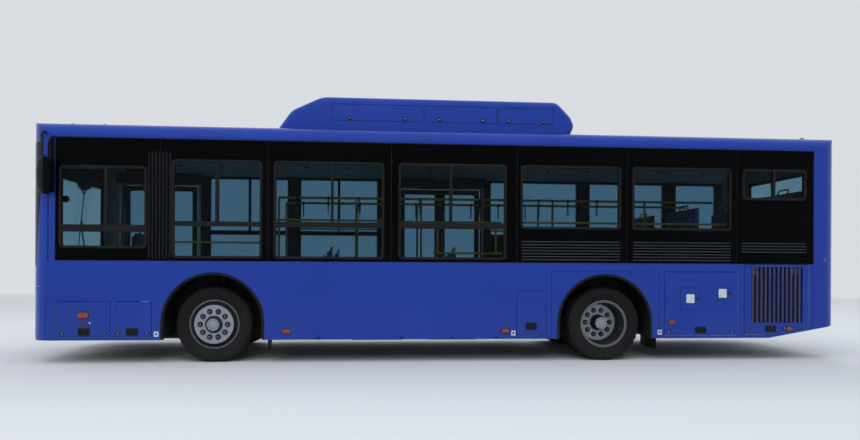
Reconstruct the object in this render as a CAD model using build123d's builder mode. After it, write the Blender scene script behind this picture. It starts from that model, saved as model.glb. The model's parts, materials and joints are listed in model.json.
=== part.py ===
from build123d import *
import math
import os

# City bus, 10.5 m long, with two axles and two doors in its right side.
# X points forward, Y to the left, Z up. The origin is on the ground, below the middle of the bus.
# All sizes are in millimetres and all angles in degrees.

os.makedirs("parts", exist_ok=True)

# Overall size of the body
LENGTH = 10500.0
WIDTH = 2500.0
ROOF_HEIGHT = 3050.0
EAVES_HEIGHT = 2945.0
SKIRT_HEIGHT = 290.0
TAIL_HEIGHT = 460.0
TAIL_RISE_LENGTH = 970.0
WHEELBASE = 5000.0
FRONT_OVERHANG = 2300.0
WALL = 50.0
SEAT_GAP = 0.3

# Rounding of the body
FRONT_BOW_RADIUS = 5600.0
FRONT_CORNER_RADIUS = 260.0
REAR_CORNER_RADIUS = 200.0
COVE_RADIUS = 165.0
COVE_OVERLAP = 1.0
BULGE_HEIGHT = 1100.0
BULGE_RADIUS = 4000.0
WINDSCREEN_LEAN = 100.0
BUMPER_SETBACK = 20.0
BUMPER_CORNER_HEIGHT = 470.0
CHIN_SETBACK = 150.0
CHIN_RADIUS = 250.0
BROW_RADIUS = 220.0
TAIL_TOP_RADIUS = 150.0

# Where the panels meet
FRONT_SEAM = 4920.0
REAR_SEAM = -4900.0
WAIST_HEIGHT = 1272.0
ROOF_SEAM = 2780.0
BAND_FRONT = 4835.0
BUMPER_TOP = 640.0
REAR_BUMPER_TOP = 750.0
PANEL_GAP = 6.0

# Wheels
TYRE_RADIUS = 478.0
TYRE_HALF_WIDTH = 138.0
TYRE_SIDES = 48
TREAD_HALF_WIDTH = 112.0
SHOULDER_RADIUS = 462.0
SHOULDER_HALF_WIDTH = 130.0
BELLY_RADIUS = 390.0
BEAD_RADIUS = 286.0
BEAD_HALF_WIDTH = 96.0
FLANGE_RADIUS = 300.0
FLANGE_THICKNESS = 12.0
RIM_WALL = 10.0
DISC_OFFSET = 150.0
DISC_THICKNESS = 14.0
DISC_FACE_RADIUS = 244.0
DISC_FOOT_OFFSET = 60.0
HUB_RADIUS = 110.0
HUB_INNER_END = -40.0
HUB_STEP = 24.0
HUB_CAP_RADIUS = 80.0
HUB_CAP_LENGTH = 62.0
DRUM_RADIUS = 205.0
DRUM_WALL = 15.0
DRUM_INNER_END = -85.0
DRUM_FACE = 20.0
SPINDLE_RADIUS = 40.0
SPINDLE_END = 120.0
RUNNING_GAP = 0.08
STUD_CIRCLE = 335.0
STUD_COUNT = 10
STUD_RADIUS = 11.0
STUD_LENGTH = 40.0
FRONT_WHEEL_Y = 1020.0
TWIN_MIDDLE_Y = 920.0
TWIN_OFFSET = 160.0
TWIN_HUB_INNER_END = -150.0
TWIN_CAP_END = 170.0
TWIN_DRUM_INNER_END = -250.0

# Front axle, its knuckles and the tie rod
KINGPIN_Y = 880.0
KINGPIN_RADIUS = 18.0
EYE_RADIUS = 45.0
EYE_HALF_HEIGHT = 50.0
LUG_GAP = 5.0
LUG_HEIGHT = 40.0
KNUCKLE_WEB_GAP = 10.0
KNUCKLE_WEB = 20.0
KNUCKLE_HALF_WIDTH = 50.0
BEAM_HALF_WIDTH = 50.0
BEAM_BOTTOM = 205.0
BEAM_TOP = 290.0
FRONT_SPRING_Y = 640.0
SPRING_RADIUS = 60.0
GOOSENECK_INNER = 600.0
GOOSENECK_OUTER = 680.0
STEERING_ARM = 180.0
ARM_HALF_WIDTH = 22.0
TIE_ROD_HEIGHT = 250.0
TIE_ROD_RADIUS = 14.0
TIE_EYE_RADIUS = 26.0
TIE_EYE_HALF_HEIGHT = 11.0
TIE_PIN_RADIUS = 12.0
OPEN_PIN_GAP = 2.0

# Rear axle
AXLE_TUBE_RADIUS = 75.0
REAR_SPRING_Y = 420.0
DIFFERENTIAL_RADIUS = 190.0

# Wheel arches and the boxes behind them
ARCH_RADIUS = 620.0
ARCH_CENTRE = 500.0
BOX_GAP = 5.0
BOX_WALL = 15.0
BOX_SIDES = 8
FRONT_BOX_Y = 540.0
REAR_BOX_Y = 590.0
HIGH_RAIL_DEPTH = 130.0
AXLE_SLOT_WIDTH = 260.0
AXLE_SLOT_HEIGHT = 500.0

# Floor
FLOOR_TOP = 340.0
FLOOR_THICKNESS = 40.0
FIRST_STEP_X = -950.0
STEP_LENGTH = 250.0
REAR_FLOOR_TOP = 950.0
ENGINE_DECK_X = -4100.0
ENGINE_DECK_TOP = 1200.0
HIGH_RAIL_BOTTOM = REAR_FLOOR_TOP - FLOOR_THICKNESS - HIGH_RAIL_DEPTH
PLATFORM_REAR = 3645.0
PLATFORM_INNER = 300.0
PLATFORM_TOP = 560.0

# Glass
GLASS = 8.0
PANE_GAP = 8.0
WINDSCREEN_HALF_WIDTH = 1080.0
WINDSCREEN_BOTTOM = 1180.0
WINDSCREEN_TOP = 2700.0
REAR_WINDOW_HALF_WIDTH = 950.0
REAR_WINDOW_BOTTOM = 1750.0
REAR_WINDOW_TOP = 2600.0

# Doors in the right side: each leaf hangs on two arms of a turning post
DOOR_SILL = 364.0
DOOR_HEAD = 2466.0
LEAF_CLEARANCE = 8.0
LEAF_THICKNESS = 40.0
LEAF_SETBACK = 5.0
POST_SETBACK = 80.0
POST_RADIUS = 18.0
POST_TO_JAMB = 36.0
POST_TO_LEAF = 48.0
LEAVES_APART = 10.0
ARM_THICKNESS = 14.0
ARM_GAP = 10.0
ARM_WIDTH = 30.0
PIVOT_PLATE = 12.0
PIVOT_PLATE_HALF = 20.0
PIVOT_PIN_RADIUS = 8.0
LEAF_FRAME = 60.0
LEAF_KICK = 200.0
LEAF_GLASS = 6.0
HEADER_GAP = 10.0
HEADER_HEIGHT = 150.0
HEADER_DEPTH = 140.0

# Flaps in the side walls, roof hatches and the engine door
FLAP_THICKNESS = 30.0
HINGE_INSET = 8.0
HINGE_PIN_RADIUS = 4.0
HINGE_PIN_REACH = 12.0
ENGINE_DOOR_HALF_WIDTH = 780.0
ENGINE_DOOR_BOTTOM = 800.0
ENGINE_DOOR_TOP = 1560.0
HATCH_OPENING = 640.0
HATCH_SIZE = 740.0
HATCH_THICKNESS = 35.0

# Lamps
HEADLAMP_INNER = 760.0
HEADLAMP_OUTER = 1150.0
HEADLAMP_BOTTOM = 690.0
HEADLAMP_TOP = 860.0
TAIL_LAMP_INNER = 860.0
TAIL_LAMP_OUTER = 1010.0
TAIL_LAMP_BOTTOM = 950.0
TAIL_LAMP_TOP = 1450.0
LAMP_GAP = 0.5

# Roof pod
POD_HALF_WIDTH = 900.0
POD_WALL = 25.0
POD_EDGE_RADIUS = 90.0

FRONT = LENGTH / 2
REAR = -LENGTH / 2
SIDE = WIDTH / 2
FRONT_AXLE = FRONT - FRONT_OVERHANG
REAR_AXLE = FRONT_AXLE - WHEELBASE
INNER_SIDE = SIDE - WALL
EAVES_DROP = ROOF_HEIGHT - EAVES_HEIGHT
CROWN_RADIUS = (SIDE**2 + EAVES_DROP**2) / (2 * EAVES_DROP)
CHIN_SLOPE = (CHIN_SETBACK - BUMPER_SETBACK) / (BUMPER_CORNER_HEIGHT - SKIRT_HEIGHT)

# Window openings: name, rear end, front end, bottom, top
LEFT_WINDOWS = (
    ("driver", 3761.0, 4783.0, 1436.0, 2427.0),
    ("second", 2364.0, 3445.0, 1318.0, 2521.0),
    ("third", 841.0, 2199.0, 1318.0, 2521.0),
    ("fourth", -734.0, 635.0, 1318.0, 2521.0),
    ("fifth", -2246.0, -940.0, 1720.0, 2521.0),
    ("sixth", -3746.0, -2419.0, 1720.0, 2521.0),
    ("seventh", -4787.0, -3924.0, 2132.0, 2521.0),
)
RIGHT_WINDOWS = (
    ("second", 2305.0, 3545.0, 1318.0, 2600.0),
    ("third", 883.0, 2131.0, 1318.0, 2600.0),
    ("fifth", -2408.0, -940.0, 1720.0, 2600.0),
    ("sixth", -3880.0, -2595.0, 1720.0, 2600.0),
    ("seventh", -4787.0, -4071.0, 1720.0, 2600.0),
)

# Joints between the glass panes, from the front to the rear
LEFT_PANE_JOINTS = (3590.0, 2280.0, 740.0, -880.0, -2335.0, -3835.0)
RIGHT_PANE_JOINTS = (2218.0, -2500.0, -3975.0)

# Flaps of the left side, hinged at their top edges: name, rear end, front end, bottom, top
LEFT_FLAPS = (
    ("driver_flap", 4177.0, 4818.0, 339.0, 775.0),
    ("battery_flap", 3686.0, 4141.0, 339.0, 772.0),
    ("middle_flap", -1272.0, -880.0, 337.0, 912.0),
    ("service_flap", -3856.0, -2848.0, 323.0, 1167.0),
    ("radiator_flap", -4843.0, -3937.0, 330.0, WAIST_HEIGHT),
)
# Flap of the right side, with the same columns
RIGHT_FLAPS = (("right_flap", -4843.0, -2848.0, 330.0, WAIST_HEIGHT),)

# Grille of the radiator flap
GRILLE_REAR = -4766.0
GRILLE_FRONT = -4057.0
GRILLE_BOTTOM = 494.0
GRILLE_TOP = 1230.0
SLAT_PITCH = 59.0
SLOT_WIDTH = 34.0
SLOT_COUNT = 12

# Doorways: name, rear jamb, front jamb
DOORWAYS = (("front", 3720.0, 4860.0), ("middle", -780.0, 540.0))

# Outline of the roof pod, from its rear foot over the top to its front foot: x, height
POD_OUTLINE = (
    (-1640.0, 2900.0),
    (-1747.0, 3126.0),
    (-1697.0, 3248.0),
    (-1500.0, 3447.0),
    (1640.0, 3447.0),
    (2040.0, 3260.0),
    (2250.0, 2960.0),
    (2250.0, 2900.0),
)
POD_CORNER_RADII = (0.0, 100.0, 150.0, 160.0, 400.0, 300.0, 0.0, 0.0)

# Middles of the roof hatches
HATCHES = (("front_hatch", 3300.0), ("rear_hatch", -3300.0))


def block_between(low, high, mode=Mode.ADD):
    """Box from its low corner to its high corner, in the part being built."""
    middle = tuple((a + b) / 2 for a, b in zip(low, high))
    with Locations(middle):
        Box(high[0] - low[0], high[1] - low[1], high[2] - low[2], mode=mode)


def body_block(inset, base):
    """Body volume with its sides, ends and roof pulled in by inset, standing on base."""
    with BuildPart() as block:
        with BuildSketch(Plane.XY.offset(base)) as plan:
            Rectangle(LENGTH - 2 * inset, WIDTH - 2 * inset)
            with Locations((FRONT - FRONT_BOW_RADIUS, 0)):
                Circle(FRONT_BOW_RADIUS - inset, mode=Mode.INTERSECT)
            fillet(plan.vertices().group_by(Axis.X)[0], REAR_CORNER_RADIUS - inset)
            fillet(plan.vertices().group_by(Axis.X)[-1], FRONT_CORNER_RADIUS - inset)
        extrude(amount=ROOF_HEIGHT + WALL)
        bumper_x = FRONT - inset - BUMPER_SETBACK
        chin_x = bumper_x - CHIN_SLOPE * (BUMPER_CORNER_HEIGHT - base)
        brow = (FRONT - inset - WINDSCREEN_LEAN, ROOF_HEIGHT - inset)
        with BuildSketch(Plane.XZ) as side:
            with BuildLine():
                Polyline(
                    (REAR + inset, base),
                    (REAR + inset, ROOF_HEIGHT - inset),
                    brow,
                    (FRONT - inset, BULGE_HEIGHT),
                    (bumper_x, BUMPER_CORNER_HEIGHT),
                    (chin_x, base),
                    close=True,
                )
            make_face()
            corners = side.vertices()
            tail_top = corners.sort_by_distance((REAR + inset, ROOF_HEIGHT - inset))[0]
            brow_corner = corners.sort_by_distance(brow)[0]
            bulge = corners.sort_by_distance((FRONT - inset, BULGE_HEIGHT))[0]
            chin = corners.sort_by_distance((bumper_x, BUMPER_CORNER_HEIGHT))[0]
            fillet(tail_top, TAIL_TOP_RADIUS - inset)
            fillet(brow_corner, BROW_RADIUS - inset)
            fillet(bulge, BULGE_RADIUS - inset)
            fillet(chin, CHIN_RADIUS - inset)
        extrude(amount=WIDTH, both=True, mode=Mode.INTERSECT)
        with BuildSketch(Plane.YZ) as section:
            with Locations((0, ROOF_HEIGHT / 2)):
                Rectangle(WIDTH - 2 * inset + 2 * COVE_OVERLAP, ROOF_HEIGHT + WALL)
            with Locations((0, ROOF_HEIGHT - CROWN_RADIUS)):
                Circle(CROWN_RADIUS - inset, mode=Mode.INTERSECT)
            fillet(section.vertices().group_by(Axis.Y)[-1], COVE_RADIUS - inset)
        extrude(amount=LENGTH, both=True, mode=Mode.INTERSECT)
    return block.part


def tail_rise(lift, mode=Mode.SUBTRACT):
    """Wedge below the tail, where the skirt rises to the rear, lifted by lift."""
    with BuildSketch(Plane.XZ) as wedge:
        with BuildLine():
            Polyline(
                (REAR - WALL, -WALL),
                (REAR - WALL, TAIL_HEIGHT + lift + WALL * (TAIL_HEIGHT - SKIRT_HEIGHT) / TAIL_RISE_LENGTH),
                (REAR + TAIL_RISE_LENGTH, SKIRT_HEIGHT + lift),
                (REAR + TAIL_RISE_LENGTH, -WALL),
                close=True,
            )
        make_face()
    extrude(wedge.sketch, amount=WIDTH, both=True, mode=mode)


def arch_block(axle, radius, y_low, y_high, mode=Mode.ADD):
    """Round-topped block over a wheel, between two distances across the bus."""
    with BuildSketch(Plane.XZ.offset(-y_high)) as arch:
        with Locations((axle, ARCH_CENTRE)):
            Circle(radius)
        with Locations((axle, ARCH_CENTRE / 2)):
            Rectangle(2 * radius, ARCH_CENTRE)
    extrude(arch.sketch, amount=y_high - y_low, mode=mode)


def box_block(axle, radius, y_low, y_high, mode=Mode.ADD):
    """Wheel box volume with five flat sides round the circle of radius, down to the ground."""
    with BuildSketch(Plane.XZ.offset(-y_low)) as outline:
        with Locations((axle, ARCH_CENTRE)):
            RegularPolygon(radius, BOX_SIDES, major_radius=False, rotation=180 / BOX_SIDES)
        with Locations((axle, ARCH_CENTRE / 2)):
            Rectangle(2 * radius, ARCH_CENTRE)
    extrude(outline.sketch, amount=y_low - y_high, mode=mode)


def panel_cuts(edges, side):
    """Cuts that part a window frame into flat panels at the given x, in the part being built."""
    for edge_x in edges:
        with Locations((edge_x, side * SIDE, ROOF_HEIGHT / 2)):
            Box(SEAT_GAP, 4 * WALL, ROOF_HEIGHT, mode=Mode.SUBTRACT)


def flap_openings(flaps):
    """Blocks that cut the flaps' openings, each with its foot in line with the skirt."""
    openings = []
    for name, rear, front, bottom, top in flaps:
        with BuildPart() as opening:
            block_between((rear, -WIDTH, bottom), (front, WIDTH, top))
            tail_rise(bottom - SKIRT_HEIGHT)
        openings.append(opening.part)
    return openings


def hinge_pins(flaps, side, radius, reach, mode):
    """Pins along the top edges of flaps, or their holes, reaching past each end of the opening."""
    for name, rear, front, bottom, top in flaps:
        with BuildSketch(Plane.YZ.offset(rear - reach)) as pin:
            with Locations((side * (SIDE - HINGE_INSET), top - PANEL_GAP - HINGE_INSET)):
                Circle(radius)
        extrude(pin.sketch, amount=front - rear + 2 * reach, mode=mode)


outer_block = body_block(0.0, SKIRT_HEIGHT)
glass_core = body_block(GLASS, 0.0)
inner_block = body_block(WALL, 0.0)
cabin_block = body_block(WALL + SEAT_GAP, 0.0)
seat_block = body_block(-SEAT_GAP, SKIRT_HEIGHT)
hatch_block = body_block(-HATCH_THICKNESS, SKIRT_HEIGHT)

with BuildPart() as shell:
    add(outer_block)
    add(inner_block, mode=Mode.SUBTRACT)
    tail_rise(0.0)

with BuildPart() as glass_skin:
    add(outer_block)
    add(glass_core, mode=Mode.SUBTRACT)

with BuildPart() as pillar_skin:
    add(glass_core)
    add(inner_block, mode=Mode.SUBTRACT)

# Side walls below the windows, each with the painted column in front of its glass
with BuildPart() as left_side:
    add(shell.part)
    block_between((REAR_SEAM, 0, 0), (FRONT_SEAM, SIDE, ROOF_SEAM), Mode.INTERSECT)
    block_between((REAR_SEAM, 0, WAIST_HEIGHT), (BAND_FRONT, SIDE, ROOF_SEAM), Mode.SUBTRACT)
    for axle in (FRONT_AXLE, REAR_AXLE):
        arch_block(axle, ARCH_RADIUS, 0, WIDTH, Mode.SUBTRACT)
    for opening in flap_openings(LEFT_FLAPS):
        add(opening, mode=Mode.SUBTRACT)
    hinge_pins(LEFT_FLAPS, 1, HINGE_PIN_RADIUS + RUNNING_GAP, HINGE_PIN_REACH + 1, Mode.SUBTRACT)
left_side.part.label = "left_side"
export_step(left_side.part, "parts/left_side.step")

with BuildPart() as right_side:
    add(shell.part)
    block_between((REAR_SEAM, -SIDE, 0), (FRONT_SEAM, 0, ROOF_SEAM), Mode.INTERSECT)
    block_between((REAR_SEAM, -SIDE, WAIST_HEIGHT), (BAND_FRONT, 0, ROOF_SEAM), Mode.SUBTRACT)
    for axle in (FRONT_AXLE, REAR_AXLE):
        arch_block(axle, ARCH_RADIUS, -WIDTH, 0, Mode.SUBTRACT)
    for opening in flap_openings(RIGHT_FLAPS):
        add(opening, mode=Mode.SUBTRACT)
    hinge_pins(RIGHT_FLAPS, -1, HINGE_PIN_RADIUS + RUNNING_GAP, HINGE_PIN_REACH + 1, Mode.SUBTRACT)
    for name, rear, front in DOORWAYS:
        block_between((rear, -WIDTH, DOOR_SILL), (front, 0, DOOR_HEAD), Mode.SUBTRACT)
right_side.part.label = "right_side"
export_step(right_side.part, "parts/right_side.step")

# Black window frames, recessed by the glass that covers them
with BuildPart() as left_pillars:
    add(pillar_skin.part)
    block_between((REAR_SEAM, 0, WAIST_HEIGHT), (BAND_FRONT, SIDE, ROOF_SEAM), Mode.INTERSECT)
    for name, rear, front, bottom, top in LEFT_WINDOWS:
        block_between((rear, 0, bottom), (front, WIDTH, top), Mode.SUBTRACT)
        panel_cuts((rear, front), 1)
left_pillars.part.label = "left_pillars"
export_step(left_pillars.part, "parts/left_pillars.step")

with BuildPart() as right_pillars:
    add(pillar_skin.part)
    block_between((REAR_SEAM, -SIDE, WAIST_HEIGHT), (BAND_FRONT, 0, ROOF_SEAM), Mode.INTERSECT)
    for name, rear, front, bottom, top in RIGHT_WINDOWS:
        block_between((rear, -WIDTH, bottom), (front, 0, top), Mode.SUBTRACT)
        panel_cuts((rear, front), -1)
    for name, rear, front in DOORWAYS:
        block_between((rear, -WIDTH, DOOR_SILL), (front, 0, DOOR_HEAD), Mode.SUBTRACT)
        panel_cuts((rear, front), -1)
right_pillars.part.label = "right_pillars"
export_step(right_pillars.part, "parts/right_pillars.step")

with BuildPart() as left_glass:
    add(glass_skin.part)
    block_between((REAR_SEAM, 0, WAIST_HEIGHT), (BAND_FRONT, SIDE, ROOF_SEAM), Mode.INTERSECT)
    for joint in LEFT_PANE_JOINTS:
        half_gap = PANE_GAP / 2
        block_between((joint - half_gap, 0, 0), (joint + half_gap, WIDTH, ROOF_HEIGHT), Mode.SUBTRACT)
left_glass.part.label = "left_glass"
export_step(left_glass.part, "parts/left_glass.step")

with BuildPart() as right_glass:
    add(glass_skin.part)
    block_between((REAR_SEAM, -SIDE, WAIST_HEIGHT), (BAND_FRONT, 0, ROOF_SEAM), Mode.INTERSECT)
    for name, rear, front in DOORWAYS:
        block_between((rear, -WIDTH, DOOR_SILL), (front, 0, DOOR_HEAD), Mode.SUBTRACT)
    for joint in RIGHT_PANE_JOINTS:
        half_gap = PANE_GAP / 2
        block_between((joint - half_gap, -WIDTH, 0), (joint + half_gap, 0, ROOF_HEIGHT), Mode.SUBTRACT)
right_glass.part.label = "right_glass"
export_step(right_glass.part, "parts/right_glass.step")

with BuildPart() as roof:
    add(shell.part)
    block_between((REAR, -SIDE, ROOF_SEAM), (FRONT, SIDE, ROOF_HEIGHT), Mode.INTERSECT)
    for name, middle in HATCHES:
        with Locations((middle, 0, ROOF_HEIGHT)):
            Box(HATCH_OPENING, HATCH_OPENING, 4 * WALL, mode=Mode.SUBTRACT)
roof.part.label = "roof"
export_step(roof.part, "parts/roof.step")

# Front end
with BuildPart() as front_panel:
    add(shell.part)
    block_between((FRONT_SEAM, -SIDE, BUMPER_TOP), (FRONT, SIDE, ROOF_SEAM), Mode.INTERSECT)
    block_between(
        (FRONT_SEAM, -WINDSCREEN_HALF_WIDTH, WINDSCREEN_BOTTOM),
        (FRONT, WINDSCREEN_HALF_WIDTH, WINDSCREEN_TOP),
        Mode.SUBTRACT,
    )
    for low, high in ((HEADLAMP_INNER, HEADLAMP_OUTER), (-HEADLAMP_OUTER, -HEADLAMP_INNER)):
        block_between((FRONT_SEAM, low, HEADLAMP_BOTTOM), (FRONT, high, HEADLAMP_TOP), Mode.SUBTRACT)
front_panel.part.label = "front_panel"
export_step(front_panel.part, "parts/front_panel.step")

with BuildPart() as windscreen:
    add(glass_skin.part)
    block_between(
        (FRONT_SEAM, -WINDSCREEN_HALF_WIDTH + SEAT_GAP, WINDSCREEN_BOTTOM + SEAT_GAP),
        (FRONT, WINDSCREEN_HALF_WIDTH - SEAT_GAP, WINDSCREEN_TOP - SEAT_GAP),
        Mode.INTERSECT,
    )

with BuildPart() as headlamps:
    add(shell.part)
    with Locations((FRONT, (HEADLAMP_INNER + HEADLAMP_OUTER) / 2, (HEADLAMP_BOTTOM + HEADLAMP_TOP) / 2),
                   (FRONT, -(HEADLAMP_INNER + HEADLAMP_OUTER) / 2, (HEADLAMP_BOTTOM + HEADLAMP_TOP) / 2)):
        Box(
            2 * (FRONT - FRONT_SEAM),
            HEADLAMP_OUTER - HEADLAMP_INNER - 2 * LAMP_GAP,
            HEADLAMP_TOP - HEADLAMP_BOTTOM - 2 * LAMP_GAP,
            mode=Mode.INTERSECT,
        )
headlamps.part.label = "headlamps"
export_step(headlamps.part, "parts/headlamps.step")

# Rear end
with BuildPart() as rear_panel:
    add(shell.part)
    block_between((REAR, -SIDE, REAR_BUMPER_TOP), (REAR_SEAM, SIDE, ROOF_SEAM), Mode.INTERSECT)
    block_between(
        (REAR, -REAR_WINDOW_HALF_WIDTH, REAR_WINDOW_BOTTOM),
        (REAR_SEAM, REAR_WINDOW_HALF_WIDTH, REAR_WINDOW_TOP),
        Mode.SUBTRACT,
    )
    block_between(
        (REAR, -ENGINE_DOOR_HALF_WIDTH, ENGINE_DOOR_BOTTOM),
        (REAR_SEAM, ENGINE_DOOR_HALF_WIDTH, ENGINE_DOOR_TOP),
        Mode.SUBTRACT,
    )
    for low, high in ((TAIL_LAMP_INNER, TAIL_LAMP_OUTER), (-TAIL_LAMP_OUTER, -TAIL_LAMP_INNER)):
        block_between((REAR, low, TAIL_LAMP_BOTTOM), (REAR_SEAM, high, TAIL_LAMP_TOP), Mode.SUBTRACT)
    with BuildSketch(Plane.XZ) as door_pin:
        with Locations((REAR + HINGE_INSET, ENGINE_DOOR_TOP - PANEL_GAP - HINGE_INSET)):
            Circle(HINGE_PIN_RADIUS + RUNNING_GAP)
    extrude(amount=ENGINE_DOOR_HALF_WIDTH + HINGE_PIN_REACH + 1, both=True, mode=Mode.SUBTRACT)
rear_panel.part.label = "rear_panel"
export_step(rear_panel.part, "parts/rear_panel.step")

with BuildPart() as bumpers:
    add(shell.part)
    block_between((REAR_SEAM, -SIDE, 0), (FRONT_SEAM, SIDE, ROOF_HEIGHT), Mode.SUBTRACT)
    block_between((FRONT_SEAM, -SIDE, BUMPER_TOP), (FRONT, SIDE, ROOF_HEIGHT), Mode.SUBTRACT)
    block_between((REAR, -SIDE, REAR_BUMPER_TOP), (REAR_SEAM, SIDE, ROOF_HEIGHT), Mode.SUBTRACT)
bumpers.part.label = "bumpers"
export_step(bumpers.part, "parts/bumpers.step")

with BuildPart() as rear_window:
    add(glass_skin.part)
    block_between(
        (REAR, -REAR_WINDOW_HALF_WIDTH + SEAT_GAP, REAR_WINDOW_BOTTOM + SEAT_GAP),
        (REAR_SEAM, REAR_WINDOW_HALF_WIDTH - SEAT_GAP, REAR_WINDOW_TOP - SEAT_GAP),
        Mode.INTERSECT,
    )

with BuildPart() as end_windows:
    add(windscreen.part)
    add(rear_window.part)
end_windows.part.label = "end_windows"
export_step(end_windows.part, "parts/end_windows.step")

with BuildPart() as tail_lamps:
    add(shell.part)
    with Locations((REAR, (TAIL_LAMP_INNER + TAIL_LAMP_OUTER) / 2, (TAIL_LAMP_BOTTOM + TAIL_LAMP_TOP) / 2),
                   (REAR, -(TAIL_LAMP_INNER + TAIL_LAMP_OUTER) / 2, (TAIL_LAMP_BOTTOM + TAIL_LAMP_TOP) / 2)):
        Box(
            4 * WALL,
            TAIL_LAMP_OUTER - TAIL_LAMP_INNER - 2 * LAMP_GAP,
            TAIL_LAMP_TOP - TAIL_LAMP_BOTTOM - 2 * LAMP_GAP,
            mode=Mode.INTERSECT,
        )
tail_lamps.part.label = "tail_lamps"
export_step(tail_lamps.part, "parts/tail_lamps.step")

# Engine door, hinged at its top edge
with BuildPart() as engine_door:
    add(shell.part)
    block_between(
        (REAR, -ENGINE_DOOR_HALF_WIDTH + PANEL_GAP, ENGINE_DOOR_BOTTOM + PANEL_GAP),
        (REAR_SEAM, ENGINE_DOOR_HALF_WIDTH - PANEL_GAP, ENGINE_DOOR_TOP - PANEL_GAP),
        Mode.INTERSECT,
    )
    fillet(engine_door.edges().filter_by(Axis.Y).group_by(Axis.Z)[-1].sort_by(Axis.X)[0], HINGE_INSET)
    with BuildSketch(Plane.XZ):
        with Locations((REAR + HINGE_INSET, ENGINE_DOOR_TOP - PANEL_GAP - HINGE_INSET)):
            Circle(HINGE_PIN_RADIUS)
    extrude(amount=ENGINE_DOOR_HALF_WIDTH + HINGE_PIN_REACH, both=True)
engine_door.part.label = "engine_door"
export_step(engine_door.part, "parts/engine_door.step")

# Flaps in both sides
for side, flaps in ((1, LEFT_FLAPS), (-1, RIGHT_FLAPS)):
    for name, rear, front, bottom, top in flaps:
        with BuildPart() as flap:
            middle_y = side * (SIDE - FLAP_THICKNESS / 2)
            with Locations(((rear + front) / 2, middle_y, (bottom + top) / 2)):
                Box(front - rear - 2 * PANEL_GAP, FLAP_THICKNESS, top - bottom - 2 * PANEL_GAP)
            tail_rise(bottom + PANEL_GAP - SKIRT_HEIGHT)
            top_edges = flap.edges().filter_by(Axis.X).group_by(Axis.Z)[-1].sort_by(Axis.Y)
            fillet(top_edges[-1 if side > 0 else 0], HINGE_INSET)
            hinge_pins(((name, rear, front, bottom, top),), side, HINGE_PIN_RADIUS, HINGE_PIN_REACH, Mode.ADD)
            if name == "radiator_flap":
                with Locations(((GRILLE_REAR + GRILLE_FRONT) / 2, middle_y, (GRILLE_BOTTOM + GRILLE_TOP) / 2)):
                    with GridLocations(SLAT_PITCH, 1, SLOT_COUNT, 1):
                        Box(SLOT_WIDTH, 2 * FLAP_THICKNESS, GRILLE_TOP - GRILLE_BOTTOM, mode=Mode.SUBTRACT)
        flap.part.label = name
        export_step(flap.part, f"parts/{name}.step")

# Roof hatches
for name, middle in HATCHES:
    with BuildPart() as hatch:
        add(hatch_block)
        add(seat_block, mode=Mode.SUBTRACT)
        with Locations((middle, 0, ROOF_HEIGHT)):
            Box(HATCH_SIZE, HATCH_SIZE, 4 * WALL, mode=Mode.INTERSECT)
    hatch.part.label = name
    export_step(hatch.part, f"parts/{name}.step")


def pod_volume(inset):
    """Roof pod with its walls pulled in by inset."""
    with BuildPart() as volume:
        with BuildSketch(Plane.XZ) as outline:
            with BuildLine():
                Polyline(*POD_OUTLINE, close=True)
            make_face()
            for point, radius in zip(POD_OUTLINE, POD_CORNER_RADII):
                if radius:
                    fillet(outline.vertices().sort_by_distance(point)[0], radius)
            if inset:
                offset(amount=-inset)
        extrude(amount=POD_HALF_WIDTH - inset, both=True)
        long_edges = volume.edges().filter_by(Axis.X).group_by(Axis.Z)[-1]
        fillet(long_edges, POD_EDGE_RADIUS - inset)
    return volume.part


outer_pod = pod_volume(0.0)
inner_pod = pod_volume(POD_WALL)
with BuildPart() as roof_pod:
    add(outer_pod)
    add(inner_pod, mode=Mode.SUBTRACT)
    add(seat_block, mode=Mode.SUBTRACT)
roof_pod.part.label = "roof_pod"
export_step(roof_pod.part, "parts/roof_pod.step")

# Floor with its steps, the driver's platform and the four wheel boxes
STEP_RISE = (REAR_FLOOR_TOP - FLOOR_TOP) / 3
TREADS = (
    (FRONT, FLOOR_TOP),
    (FIRST_STEP_X, FLOOR_TOP),
    (FIRST_STEP_X, FLOOR_TOP + STEP_RISE),
    (FIRST_STEP_X - STEP_LENGTH, FLOOR_TOP + STEP_RISE),
    (FIRST_STEP_X - STEP_LENGTH, FLOOR_TOP + 2 * STEP_RISE),
    (FIRST_STEP_X - 2 * STEP_LENGTH, FLOOR_TOP + 2 * STEP_RISE),
    (FIRST_STEP_X - 2 * STEP_LENGTH, REAR_FLOOR_TOP),
    (ENGINE_DECK_X, REAR_FLOOR_TOP),
    (ENGINE_DECK_X, ENGINE_DECK_TOP),
    (REAR, ENGINE_DECK_TOP),
)
UNDERSIDE = tuple((x - FLOOR_THICKNESS, z - FLOOR_THICKNESS) for x, z in TREADS)
BOX_RADIUS = ARCH_RADIUS + BOX_GAP + BOX_WALL
# Wheel boxes of each axle: x of the axle, distance of the box's inner face from the middle
AXLE_BOXES = ((FRONT_AXLE, FRONT_BOX_Y), (REAR_AXLE, REAR_BOX_Y))
with BuildPart() as floor:
    with BuildSketch(Plane.XZ):
        with BuildLine():
            Polyline(*TREADS, *reversed(UNDERSIDE), close=True)
        make_face()
    extrude(amount=INNER_SIDE, both=True)
    block_between((PLATFORM_REAR, PLATFORM_INNER, FLOOR_TOP), (FRONT, INNER_SIDE, PLATFORM_TOP))
    for axle, box_y in AXLE_BOXES:
        for low, high in ((box_y, SIDE), (-SIDE, -box_y)):
            box_block(axle, BOX_RADIUS + SEAT_GAP, low - SEAT_GAP, high + SEAT_GAP, Mode.SUBTRACT)
    add(cabin_block, mode=Mode.INTERSECT)

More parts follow.
